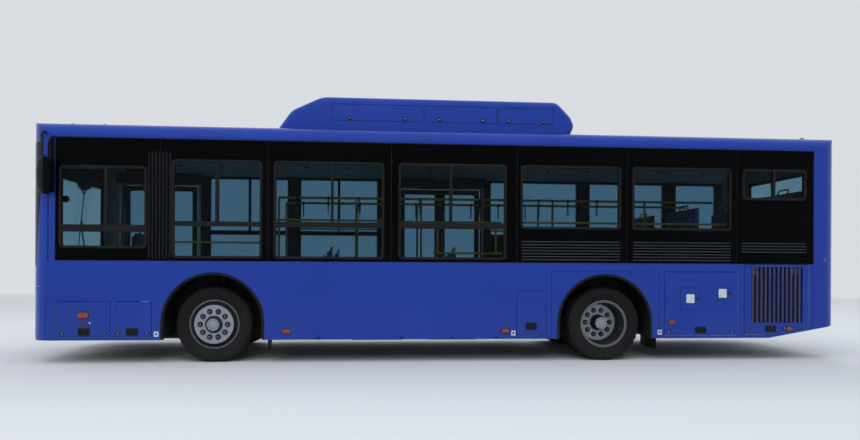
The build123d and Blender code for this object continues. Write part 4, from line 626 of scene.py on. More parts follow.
class Form:
    """Mesh of one piece, put together from simple solids."""

    def __init__(self, name: str, place: Optional[Place] = None) -> None:
        """Starts an empty piece.

        Args:
            name: Name of the piece.
            place: Surface on which its flat outlines lie.
        """
        self.name = name
        self.place = place
        self.mesh = bmesh.new()
        self.finishes: list[Finish] = []

    def take(self, part: bmesh.types.BMesh, finish: Finish) -> None:
        """Adds a closed solid with one finish."""
        if finish not in self.finishes:
            self.finishes.append(finish)
        bmesh.ops.remove_doubles(part, verts=part.verts[:], dist=1e-6)
        bmesh.ops.recalc_face_normals(part, faces=part.faces[:])
        for face in part.faces:
            face.material_index = self.finishes.index(finish)
        holder = bpy.data.meshes.new("holder")
        part.to_mesh(holder)
        part.free()
        self.mesh.from_mesh(holder)
        bpy.data.meshes.remove(holder)

    def box(self, low: Point, high: Point, finish: Finish, bevel: float = 0.0,
            turn: Optional[Matrix] = None) -> None:
        """Box between two corners, with rounded edges and turned about its middle where asked."""
        part = bmesh.new()
        middle = (Vector(low) + Vector(high)) / 2
        size = Vector(high) - Vector(low)
        shape = Matrix.Translation(middle) @ (turn or Matrix.Identity(4)) @ Matrix.Diagonal((*size, 1.0))
        bmesh.ops.create_cube(part, size=1.0, matrix=shape)
        if bevel:
            bmesh.ops.bevel(part, geom=part.edges[:], offset=bevel, segments=2, profile=0.6, affect="EDGES")
        self.take(part, finish)

    def block(self, low: Point, high: Point, finish: Finish, bevel: float = 0.0) -> None:
        """Box between two corners that are given on the form's surface."""
        self.box(self.place(*low), self.place(*high), finish, bevel)

    def layers(self, loops: Sequence[Sequence[Point]], finish: Finish, round_trip: bool = False) -> None:
        """Skin through loops of equal length, capped at both ends unless the last joins the first."""
        part = bmesh.new()
        rows = [[part.verts.new(point) for point in loop] for loop in loops]
        pairs = list(zip(rows, rows[1:]))
        if round_trip:
            pairs.append((rows[-1], rows[0]))
        for one, two in pairs:
            for a, b, c, d in zip(one, [*one[1:], one[0]], [*two[1:], two[0]], two):
                part.faces.new((a, b, c, d))
        if not round_trip:
            part.faces.new(rows[0])
            part.faces.new(rows[-1])
        self.take(part, finish)

    def prism(self, loop: Loop, low: float, high: float, finish: Finish, bevel: float = 0.0) -> None:
        """Flat solid of an outline from depth low to high; its outer edge shrinks by bevel."""
        middle_u = sum(u for u, v in loop) / len(loop)
        middle_v = sum(v for u, v in loop) / len(loop)
        reach = max(math.hypot(u - middle_u, v - middle_v) for u, v in loop)
        share = 1.0 - bevel / reach
        inner = [(middle_u + (u - middle_u) * share, middle_v + (v - middle_v) * share) for u, v in loop]
        rows = [[self.place(u, v, depth) for u, v in loop] for depth in (low, high - bevel)]
        if bevel:
            rows.append([self.place(u, v, high) for u, v in inner])
        self.layers(rows, finish)

    def slab(self, low: Point, high: Point, radius: float, span: Span, finish: Finish, bevel: float = 0.0,
             steps: int = 6) -> None:
        """Rounded rectangle between two corners, between the two depths of span."""
        self.prism(rounded(low, high, radius, steps), *span, finish, bevel)

    def plate(self, middle: Point, half: Point, radius: float, span: Span, finish: Finish, bevel: float = 0.0,
              steps: int = 6) -> None:
        """Rounded rectangle round a middle, with half its width and half its height."""
        (u, v), (wide, tall) = middle, half
        self.slab((u - wide, v - tall), (u + wide, v + tall), radius, span, finish, bevel, steps)

    def dot(self, middle: Point, radius: float, span: Span, finish: Finish, bevel: float = 0.0,
            steps: int = 32, tall: float = 1.0) -> None:
        """Round or upright oval plate."""
        u, v = middle
        loop = [(u + radius * math.cos(t), v + tall * radius * math.sin(t)) for t in circle(steps)]
        self.prism(loop, *span, finish, bevel)

    def ring(self, outer: Loop, inner: Loop, span: Span, finish: Finish) -> None:
        """Flat frame between two loops of equal length, between the two depths of span."""
        low, high = span
        rows = [[self.place(u, v, depth) for u, v in loop]
                for loop, depth in ((outer, low), (outer, high), (inner, high), (inner, low))]
        self.layers(rows, finish, round_trip=True)

    def seal(self, low: Point, high: Point, radius: float, width: float, span: Span, finish: Finish,
             gap: float = 0.0) -> None:
        """Rounded frame of one width inside a rectangle.

        Args:
            low: Lower corner of the rectangle in the outline's own two coordinates.
            high: Upper corner.
            radius: Corner radius of the frame's outer edge.
            width: Width of the frame.
            span: Depths of the back and the front of the frame.
            finish: Its finish.
            gap: Longest straight piece, for a frame on a curved surface.
        """
        inner_radius = max(0.004, radius - width)
        outer = rounded(low, high, radius)
        inner = rounded((low[0] + width, low[1] + width), (high[0] - width, high[1] - width), inner_radius)
        if gap:
            count = [max(1, math.ceil(math.dist(a, b) / gap)) for a, b in zip(outer, [*outer[1:], outer[0]])]
            outer = self.split(outer, count)
            inner = self.split(inner, count)
        self.ring(outer, inner, span, finish)

    @staticmethod
    def split(loop: Loop, counts: Sequence[int]) -> list[tuple[float, float]]:
        """Loop whose edges are parted into the given numbers of pieces."""
        points = []
        for (u, v), (next_u, next_v), count in zip(loop, [*loop[1:], loop[0]], counts):
            points += [(u + (next_u - u) * k / count, v + (next_v - v) * k / count) for k in range(count)]
        return points

    def tube(self, path: Sequence[Point], radius: float, finish: Finish, sides: int = 12) -> None:
        """Round bar along a path."""
        points = [Vector(point) for point in path]
        rows = []
        across = Vector((0, 0, 1)) if abs((points[1] - points[0]).normalized().z) < 0.9 else Vector((1, 0, 0))
        for index, point in enumerate(points):
            before, after = points[max(0, index - 1)], points[min(len(points) - 1, index + 1)]
            along = (after - before).normalized()
            one = along.cross(across).normalized()
            across = one.cross(along).normalized()
            rows.append([point + one * radius * math.cos(t) + across * radius * math.sin(t)
                         for t in circle(sides)])
        self.layers(rows, finish)

    def lathe(self, profile: Loop, middle: Point, finish: Finish, steps: int = 48, axis: int = 1,
              sign: int = 1, change: Optional[Callable[[int, int], float]] = None) -> None:
        """Round solid about an axis through middle.

        Args:
            profile: Closed outline as distance along the axis and radius.
            middle: Point on the axis where the distance is 0.
            finish: Its finish.
            steps: Number of steps round the axis.
            axis: Number of the axis.
            sign: 1, or -1 to count the distance the other way.
            change: Gives what is added to a radius from the profile's index and the step.
        """
        first, second = (k for k in range(3) if k != axis)
        rows = []
        for step, turn in enumerate(circle(steps)):
            row = []
            for index, (along, radius) in enumerate(profile):
                point = list(middle)
                reach = radius + (change(index, step) if change else 0.0)
                point[axis] += sign * along
                point[first] += reach * math.cos(turn)
                point[second] += reach * math.sin(turn)
                row.append(point)
            rows.append(row)
        self.layers(rows, finish, round_trip=True)

    def sheet(self, point_at: Place, counts: tuple[int, int], span: Span, finish: Finish) -> None:
        """Curved plate: point_at takes two shares from 0 to 1 and a depth."""
        part = bmesh.new()
        sides = []
        for depth in span:
            sides.append([[part.verts.new(point_at(i / counts[0], j / counts[1], depth))
                           for j in range(counts[1] + 1)] for i in range(counts[0] + 1)])
        rims = []
        for rows in sides:
            for one, two in zip(rows, rows[1:]):
                for a, b, c, d in zip(one, one[1:], two[1:], two):
                    part.faces.new((a, b, c, d))
            edge = [*rows[0], *[row[-1] for row in rows[1:]], *reversed(rows[-1][:-1])]
            rims.append(edge + [row[0] for row in reversed(rows[1:-1])])
        back, face = rims
        for a, b, c, d in zip(back, [*back[1:], back[0]], [*face[1:], face[0]], face):
            part.faces.new((a, b, c, d))
        self.take(part, finish)

    def skin(self, start: Point, size: Point, counts: tuple[int, int], span: Span, finish: Finish) -> None:
        """Rectangle that follows the form's curved surface from its start corner."""
        self.sheet(lambda u, v, depth: self.place(start[0] + size[0] * u, start[1] + size[1] * v, depth),
                   counts, span, finish)

    def done(self, body: str = "body", slot: Optional[str] = None, angle: float = SHARP) -> bpy.types.Object:
        """Makes the object and lets it ride on a body.

        Args:
            body: Body of the frame that carries the piece.
            slot: Material slot of the record, where the piece has one; it is not used.
            angle: Edges sharper than this stay sharp, in degrees.

        Returns:
            The new object.
        """
        data = bpy.data.meshes.new(self.name)
        self.mesh.to_mesh(data)
        self.mesh.free()
        for finish in self.finishes:
            data.materials.append(finish.material())
        data.shade_smooth()
        data.set_sharp_from_angle(angle=math.radians(angle))
        made = bpy.data.objects.new(self.name, data)
        bpy.context.scene.collection.objects.link(made)
        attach(made, body)
        log.info("%s: %d faces on %s", self.name, len(data.polygons), body)
        return made


# Sub-assemblies


def side_form(side: Side, name: str, y: float = SIDE_Y) -> Form:
    """Empty piece whose outlines lie on a side of the bus."""
    return Form(f"{side.label}_{name}", on_side(side, y))


@dataclass(frozen=True)
class Window:
    """A window opening in one side, with its inner bars."""

    rear: float
    front: float
    bottom: float
    top: float
    divider: Optional[Span] = None
    bar: Optional[Span] = None


@dataclass
class WindowBand:
    """What lies on and behind the glass band of one side."""

    side: Side
    windows: Sequence[Window]
    joints: Sequence[float]
    louvres: Sequence[tuple[float, float, int]]
    solid: Sequence[Span] = ()
    ribs: Optional[Span] = None

    REAR, FRONT, BOTTOM, TOP = -4.895, 4.83, 1.2695, 2.783
    LOUVRE_TOP, LOUVRE_STEP = 1.545, 0.0385
    RIBS = 7

    def build(self) -> None:
        """Makes the seals, bars, louvre lines and the sealant between the panes."""
        seals = side_form(self.side, "window_seals")
        for window in self.windows:
            rear, front, foot, top = window.rear, window.front, window.bottom, window.top
            seals.seal((rear - 0.012, foot - 0.012), (front + 0.012, top + 0.012), 0.055, 0.03,
                       (-0.058, 0.0012), SEAL_RUBBER)
            if window.bar:
                seals.block((rear, window.bar[0], -0.05), (front, window.bar[1], 0.0018), SEAL_RUBBER, 0.004)
                foot = window.bar[1]
            if window.divider:
                start, end = window.divider
                seals.block((start, foot - 0.005, -0.05), (end, top, 0.0018), SEAL_RUBBER, 0.004)
                x, z = start + 0.008, (foot + top) / 2
                seals.block((x, z, -0.07), (x + 0.024, z + 0.09, -0.045), DARK_PLASTIC, 0.003)
        seals.done(slot="black_frame")
        self.sealant()
        self.lines()

    def sealant(self) -> None:
        """Sealant between the panes and along the band's edges, which stops at the doorways."""
        form = side_form(self.side, "pane_sealant")
        for joint in self.joints:
            form.block((joint - 0.0038, 1.276, -0.03), (joint + 0.0038, 2.776, -0.002), SEAL_RUBBER, 0.001)
        edges = [(self.REAR, self.FRONT)]
        for low, high in self.solid:
            cuts = [cut for a, b in edges for cut in ((a, min(b, low)), (max(a, high), b))]
            edges = [(start, end) for start, end in cuts if end > start]
        strips = [(start, end, self.BOTTOM, 1.2765, 0.0022) for start, end in edges]
        strips.append((self.REAR, self.FRONT, 2.7755, self.TOP, 0.0022))
        strips += [(x - 0.004, x + 0.004, 1.27, self.TOP, 0.0018) for x in (-4.9, 4.835)]
        for rear, front, bottom, top, face in strips:
            form.block((rear, bottom, -0.01), (front, top, face), SEAL_RUBBER, 0.001)
        form.done(slot="black_frame")

    def lines(self) -> None:
        """Pale louvre lines low on the rear panes and the ribs of the black pillar."""
        form = side_form(self.side, "louvre_lines")
        for rear, front, count in self.louvres:
            for number in range(count):
                z = self.LOUVRE_TOP - number * self.LOUVRE_STEP
                form.slab((rear, z - 0.0055), (front, z + 0.0055), 0.005, (-0.003, 0.003), LOUVRE_PALE,
                          0.0012, 3)
        form.done(slot="black_frame")
        if self.ribs:
            form = side_form(self.side, "ribbed_pillar")
            rear, front = self.ribs
            for number in range(self.RIBS):
                x = rear + (number + 0.5) * (front - rear) / self.RIBS
                form.slab((x - 0.011, 1.3), (x + 0.011, 2.62), 0.009, (-0.003, 0.0045), BAND_BLACK, 0.003, 3)
            form.done(slot="black_frame")


@dataclass(frozen=True)
class Flap:
    """A flap with what it carries, in its own side's plane.

    Attributes:
        body: Body of the flap.
        side: Its side.
        recess: Rear, front, bottom and top of the finger recess.
        locks: Middles of the locks.
        hinges: x of the hinge leaves.
        top: Height of the flap's upper edge.
    """

    body: str
    side: Side
    recess: tuple[float, float, float, float]
    locks: Sequence[Span]
    hinges: Sequence[float]
    top: float


@dataclass
class SideTrim:
    """Handles, locks, markers, blank labels, seams, arch edges and the grille's slats."""

    flaps: Sequence[Flap]

    MARKERS = {
        Side.LEFT: ((2.043, 0.398, 0.105), (-0.735, 0.398, 0.105)),
        Side.RIGHT: ((1.6, 0.398, 0.105), (-1.0, 0.398, 0.105), (-2.76, 0.44, 0.09)),
    }
    LABELS = {Side.LEFT: ((3.63, 0.365), (-0.84, 0.365), (-2.785, 0.37)), Side.RIGHT: ((3.64, 0.365),)}
    ARCH_Z, ARCH_FOOT, ARCH_STEPS = 0.5, 0.295, 40
    SLATS, SLAT_STEP, GRILLE_X = 12, 0.059, -4.4115

    def build(self) -> None:
        """Makes all the small things on the flaps and the side walls."""
        for flap in self.flaps:
            self.flap(flap)
        for side in Side:
            self.arches(side)
            self.markers(side)
            self.seams(side)
        self.grille()
        self.filler_doors()
        self.flap_markers()

    @staticmethod
    def flap(flap: Flap) -> None:
        """What rides on one flap: finger recess, oval locks and hinge leaves behind it."""
        form = Form(f"{flap.body}_fittings", on_side(flap.side))
        rear, front, bottom, top = flap.recess
        form.seal((rear - 0.006, bottom - 0.006), (front + 0.006, top + 0.006), 0.016, 0.009, (-0.002, 0.004),
                  DARK_PLASTIC)
        form.slab((rear, bottom), (front, top), 0.012, (-0.002, 0.0012), BAND_BLACK)
        middle = (rear + front) / 2
        form.slab((middle - 0.034, top - 0.03), (middle + 0.034, top - 0.006), 0.008, (0.0, 0.005),
                  DARK_PLASTIC, 0.002)
        for spot in flap.locks:
            form.dot(spot, 0.031, (-0.002, 0.004), DARK_PLASTIC, 0.0018, 28, 0.47)
            form.dot(spot, 0.0085, (0.0, 0.0058), STEEL, 0.001, 16)
            form.plate(spot, (0.0012, 0.006), 0.001, (0.0, 0.0062), BAND_BLACK, steps=2)
        for x in flap.hinges:
            form.block((x - 0.05, flap.top - 0.14, -0.037), (x + 0.05, flap.top - 0.03, -0.0302), STEEL,
                       0.002)
            for drop in (0.06, 0.11):
                form.lathe(knob(0.008, 0.006, 0.008, 0.004), form.place(x, flap.top - drop, -0.037), NUT_DARK,
                           12, 1, -flap.side.value)
        form.done(flap.body, "dark_plastic")

    def arches(self, side: Side) -> None:
        """Rubber edges round the wheel arches."""
        form = side_form(side, "arch_edges")
        for axle in (FRONT_AXLE, REAR_AXLE):
            loops = []
            for radius in (0.632, 0.598):
                turns = [math.pi * step / self.ARCH_STEPS for step in range(self.ARCH_STEPS + 1)]
                arc = [(axle + radius * math.cos(t), self.ARCH_Z + radius * math.sin(t)) for t in turns]
                loops.append([(axle + radius, self.ARCH_FOOT), *arc, (axle - radius, self.ARCH_FOOT)])
            rows = []
            for (u, v), (inner_u, inner_v) in zip(*loops):
                mid_u, mid_v = (u + inner_u) / 2, (v + inner_v) / 2
                row = ((u, v, -0.004), (u, v, 0.003), (mid_u, mid_v, 0.009), (inner_u, inner_v, 0.002),
                       (inner_u, inner_v, -0.045), ((inner_u + mid_u) / 2, (inner_v + mid_v) / 2, -0.045))
                rows.append([form.place(*point) for point in row])
            form.layers(rows, SEAL_RUBBER)
        form.done(slot="chassis_black")

    def markers(self, side: Side) -> None:
        """Side marker lamps, and small blank labels."""
        form = side_form(side, "side_markers")
        for marker in self.MARKERS[side]:
            self.marker(form, *marker)
        for spot in self.LABELS[side]:
            form.plate(spot, (0.028, 0.032), 0.006, (-0.001, 0.0016), PLATE_WHITE, steps=3)
            form.plate(spot, (0.012, 0.014), 0.004, (0.0, 0.0022), PANEL_BLUE, steps=3)
        form.done(slot="red_lamp")

    @staticmethod
    def marker(form: Form, x: float, z: float, length: float) -> None:
        """One lozenge-shaped lamp with its base and a small clear stud."""
        half = length / 2
        form.plate((x, z), (half + 0.006, 0.034), 0.03, (-0.002, 0.005), DARK_PLASTIC, 0.002)
        form.plate((x, z), (half, 0.027), 0.025, (0.0, 0.015), MARKER_RED, 0.006)
        form.dot((x - half - 0.016, z + 0.012), 0.006, (-0.001, 0.005), CLEAR_LENS, 0.001, 14)

    @staticmethod
    def seams(side: Side) -> None:
        """Dark seams of the fixed panels, the band's front corner and the jack point caps."""
        form = side_form(side, "panel_seams")
        form.block((4.915, 1.262, -0.006), (4.925, 2.7, 0.0012), SEAL_RUBBER)
        for rear, front, bottom, top in ((-2.7795, -2.7745, 0.31, 1.16), (-1.3395, -1.3345, 0.31, 1.16),
                                         (-4.9025, -4.8975, 0.47, 1.27), (-2.777, -1.337, 1.1575, 1.1625)):
            form.block((rear, bottom, -0.004), (front, top, 0.0006), SEAL_RUBBER)
        form.block((4.9425, 0.33, -0.01), (4.9475, 0.88, -0.0038), SEAL_RUBBER)
        rear, front, foot, bend, radius = 4.842, 4.925, 2.1, 2.7, 0.083
        turns = [math.radians(9 * step) for step in range(11)]
        arc = [(front - radius * (1 - math.cos(t)), bend + radius * math.sin(t)) for t in turns]
        form.prism([(rear, foot), (front, foot), *arc, (rear, bend + radius)], -0.004, 0.0012, BAND_BLACK)
        for x in (1.65, 0.6, -0.05, -0.62):
            form.slab((x - 0.03, 0.302), (x + 0.03, 0.322), 0.008, (-0.002, 0.003), DARK_PLASTIC, 0.001, 3)
        form.done(slot="black_frame")

    def grille(self) -> None:
        """Slats with rounded faces in front of the radiator flap's slots, and a mesh behind them."""
        form = Form("radiator_grille_slats", on_side(Side.LEFT))
        for number in range(self.SLATS):
            x = self.GRILLE_X + (number - 5) * self.SLAT_STEP
            form.slab((x - 0.013, 0.487), (x + 0.013, 1.238), 0.012, (-0.012, 0.0065), SLAT_GREY, 0.005, 5)
        for number in range(self.SLATS - 1):
            z = 0.53 + number * 0.066
            form.block((-4.76, z - 0.002, -0.034), (-4.063, z + 0.002, -0.0305), CHASSIS)
        form.block((-4.77, 0.486, -0.05), (-4.053, 1.238, -0.036), CHASSIS, 0.003)
        form.done("radiator_flap", "dark_plastic")

    def filler_doors(self) -> None:
        """The two small doors in the service flap, each with a blank plate and a knob, and its marker."""
        form = Form("filler_doors", on_side(Side.LEFT))
        doors = ((-3.33, -3.07, 0.672, 0.958, (-3.2, 0.812), (-3.298, 0.812)),
                 (-3.759, -3.572, 0.792, 0.966, (-3.64, 0.882), (-3.733, 0.882)))
        for rear, front, bottom, top, plate, pull in doors:
            form.seal((rear - 0.005, bottom - 0.005), (front + 0.005, top + 0.005), 0.014, 0.0035,
                      (-0.002, 0.0008), SEAL_RUBBER)
            form.slab((rear, bottom), (front, top), 0.011, (-0.002, 0.0022), PANEL_BLUE, 0.0015)
            form.plate(plate, (0.055, 0.057), 0.01, (0.0, 0.0036), PLATE_WHITE, 0.0006, 3)
            form.dot(pull, 0.016, (0.0, 0.009), DARK_PLASTIC, 0.003, 24)
        self.marker(form, -2.946, 0.5, 0.09)
        form.done("service_flap", "blue_paint")

    def flap_markers(self) -> None:
        """Lamps on the driver's flap and on the radiator flap."""
        form = Form("driver_flap_marker", on_side(Side.LEFT))
        form.slab((4.43, 0.558), (4.575, 0.642), 0.03, (-0.002, 0.005), DARK_PLASTIC, 0.002)
        form.slab((4.437, 0.565), (4.568, 0.635), 0.026, (0.0, 0.015), MARKER_RED, 0.006)
        form.slab((4.438, 0.461), (4.547, 0.514), 0.022, (-0.002, 0.004), MARKER_DULL, 0.002)
        form.dot((4.422, 0.503), 0.01, (-0.001, 0.006), PLATE_WHITE, 0.001, 16)
        form.done("driver_flap", "red_lamp")
        form = Form("radiator_flap_marker", on_side(Side.LEFT))
        self.marker(form, -4.568, 0.41, 0.085)
        form.done("radiator_flap", "red_lamp")


@dataclass
class RoofPod:
    """Hatch seams, latches and the dark foot seam of the pod, and the small things on the roof."""

    half_width: float = 0.9

    ROOF_Z, ROOF_RADIUS = 3.05, 7.49

    def build(self) -> None:
        """Makes the details on both sides of the pod, and the small things on the roof."""
        for side in Side:
            form = side_form(side, "pod_hatches", self.half_width)
            for rear, front in ((0.304, 1.525), (-0.683, 0.304), (-1.46, -0.683)):
                form.seal((rear + 0.012, 3.126), (front - 0.012, 3.345), 0.02, 0.006, (-0.003, 0.0008),
                          SEAL_RUBBER)
            for x in (1.28, 0.553, 0.094, -0.48, -0.829, -1.307):
                form.dot((x, 3.164), 0.026, (-0.002, 0.006), DARK_PLASTIC, 0.002, 20)
                form.slab((x - 0.016, 3.16), (x + 0.016, 3.168), 0.003, (0.0, 0.012), STEEL, 0.002, 2)
            form.done(slot="blue_paint")
        form = Form("pod_foot_seam")
        for side in Side:
            form.place = on_side(side, self.half_width)
            form.block((-1.66, 2.972, -0.01), (2.24, 3.004, 0.012), SEAL_RUBBER, 0.004)
        form.done(slot="black_frame")
        form = Form("roof_markers")
        for x, y in ((4.82, 0.78), (4.42, 0.78), (4.82, -0.78), (-4.95, 0.9), (-4.95, -0.9)):
            z = self.ROOF_Z - (self.ROOF_RADIUS - math.sqrt(self.ROOF_RADIUS**2 - y * y)) - 0.004
            form.lathe(knob(0.034, 0.014, 0.026, 0.022, 0.032), (x, y, z), DARK_PLASTIC, 24, 2)
        form.done(slot="dark_plastic")
        form = Form("rain_gutters")
        for side in Side:
            form.place = on_side(side)
            form.block((-4.9, 2.79, -0.004), (4.9, 2.799, 0.009), PANEL_BLUE, 0.003)
        form.done(slot="blue_paint")


@dataclass
class FrontEnd:
    """Screen border, wipers, lamps, blank sign and blank plate."""

    def build(self) -> None:
        """Makes everything on the front."""
        self.screen()
        for side in Side:
            self.headlamp(side)
            self.wiper(side)
        self.trim()

    @staticmethod
    def screen() -> None:
        """Black border and seal of the windscreen, with the blank sign behind its top."""
        form = Form("screen_border", on_front)
        form.seal((-1.092, 1.168), (1.092, 2.712), 0.09, 0.022, (-0.03, 0.0), SEAL_RUBBER, 0.06)
        form.seal((-1.072, 1.188), (1.072, 2.692), 0.075, 0.05, (-0.03, -0.009), BAND_BLACK, 0.06)
        for sign in SIGNS:
            form.sheet(lambda u, v, depth, s=sign: on_front(
                s * (1.088 + (0.07 + 0.078 * math.sin(math.pi * v / 2)) * u), 1.2 + 1.52 * v, depth),
                (12, 30), (-0.006, 0.0032), BAND_BLACK)
        form.done(slot="black_frame")
        form = Form("destination_sign", on_front)
        form.skin((-0.95, 2.39), (1.9, 0.25), (24, 4), (-0.085, -0.055), SIGN_DARK)
        for z in (2.364, 2.628):
            form.skin((-0.97, z), (1.94, 0.028), (24, 1), (-0.12, -0.045), DARK_PLASTIC)
        form.done(slot="dark_plastic")

    @staticmethod
    def headlamp(side: Side) -> None:
        """Lamp unit that wraps round the corner: dark bowl, two reflectors, lens and bright edge."""
        sign = side.value
        lamp_z, start, size = 0.775, (sign * 0.765, 0.695), (sign * 0.38, 0.16)
        form = Form(f"{side.label}_headlamp_unit", on_front)
        form.skin(start, size, (14, 4), (-0.05, -0.044), DARK_PLASTIC)
        low, high = sorted((sign * 0.765, sign * 1.145))
        form.seal((low, 0.695), (high, 0.855), 0.02, 0.006, (-0.05, -0.002), DARK_PLASTIC, 0.04)
        for y, radius in ((0.85, 0.066), (1.0, 0.06)):
            middle = on_front(sign * y, lamp_z, -0.044)
            bowl = [(0.0, 0.0), (0.001, 0.012), (0.004, radius * 0.6), (0.018, radius * 0.93), (0.03, radius),
                    (0.03, radius + 0.004), (0.0, radius + 0.004)]
            form.lathe(bowl, middle, REFLECTOR, 40, 0)
            form.lathe(knob(0.011, 0.016, 0.022, 0.006, 0.024), middle, CLEAR_LENS, 20, 0)
        form.lathe(knob(0.028, 0.02, 0.026, 0.02, 0.028), on_front(sign * 1.1, lamp_z, -0.05), AMBER_LENS, 24,
                   0)
        form.done(slot="clear_lamp")
        lens = Form(f"{side.label}_headlamp_lens", on_front)
        lens.skin(start, size, (24, 8), (-0.006, -0.001), CLEAR_LENS)
        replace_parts(lens.done(slot="clear_lamp"), "headlamps")
        trim = Form(f"{side.label}_headlamp_trim")
        path = []
        for step in range(19):
            share = step / 18
            y = sign * (0.79 + 0.435 * share)
            path.append((front_x(y, 0.9) - 0.0004, y, 0.885 + 0.075 * share**2.2))
        trim.tube(path, 0.0055, RING_BRIGHT, 10)
        trim.done(slot="bright_steel")

    @staticmethod
    def wiper(side: Side) -> None:
        """Wiper parked upright at one side of the screen."""
        sign = side.value
        form = Form(f"{side.label}_wiper")
        foot, tip = (sign * 0.72, 1.13), (sign * 0.5, 1.86)
        form.lathe(knob(0.026, 0.01, 0.016, 0.018), on_front(*foot, 0.0), DARK_PLASTIC, 24, 0)
        arm = [on_front(foot[0] + (tip[0] - foot[0]) * k / 10, foot[1] + (tip[1] - foot[1]) * k / 10,
                        0.012 + 0.004 * math.sin(math.pi * k / 10)) for k in range(11)]
        blade = [on_front(tip[0] - sign * 0.02 + sign * 0.1 * (k / 12 - 0.5), 1.46 + 0.8 * k / 12, 0.005)
                 for k in range(13)]
        spine = [(x + 0.007, y, z) for x, y, z in blade]
        form.tube(arm, 0.0075, DARK_PLASTIC, 8)
        form.tube([(x - 0.002, y + sign * 0.028, z + 0.004) for x, y, z in arm], 0.004, DARK_PLASTIC, 8)
        form.tube(blade, 0.0045, SEAL_RUBBER, 6)
        form.tube(spine, 0.0035, DARK_PLASTIC, 6)
        for k in (1, 4, 8, 11):
            form.tube([blade[k], spine[k]], 0.006, DARK_PLASTIC, 6)
        form.tube([arm[-1], blade[6]], 0.006, DARK_PLASTIC, 8)
        form.done(slot="dark_plastic")

    @staticmethod
    def trim() -> None:
        """Blank plate, fog lamps with the slots under them, and the seams of the front panels."""
        form = Form("front_plate", on_front)
        form.skin((-0.27, 0.44), (0.54, 0.12), (12, 2), (-0.002, 0.006), DARK_PLASTIC)
        form.skin((-0.26, 0.444), (0.52, 0.112), (12, 2), (0.004, 0.0075), PLATE_WHITE)
        form.done(slot="dark_plastic")
        form = Form("fog_lamps", on_front)
        housing = [(-0.03, 0.0), (-0.03, 0.058), (0.002, 0.06), (0.003, 0.05), (-0.004, 0.046), (-0.006, 0.0)]
        glass = [(-0.012, 0.0), (-0.012, 0.046), (-0.004, 0.046), (0.0, 0.03), (0.0015, 0.0)]
        for sign in SIGNS:
            middle = on_front(sign * 0.82, 0.48, 0.012)
            form.lathe(housing, middle, DARK_PLASTIC, 36, 0)
            form.lathe(glass, middle, CLEAR_LENS, 36, 0)
            for number in range(5):
                form.skin((sign * 0.35, 0.39 - number * 0.02), (sign * 0.3, 0.009), (8, 1), (-0.004, 0.002),
                          BAND_BLACK)
        form.done(slot="dark_plastic")
        form = Form("front_seams", on_front)
        for z, half in ((0.64, 1.13), (1.11, 1.06)):
            form.skin((-half, z - 0.0025), (2 * half, 0.005), (40, 1), (-0.006, 0.0004), SEAL_RUBBER)
        form.done(slot="black_frame")


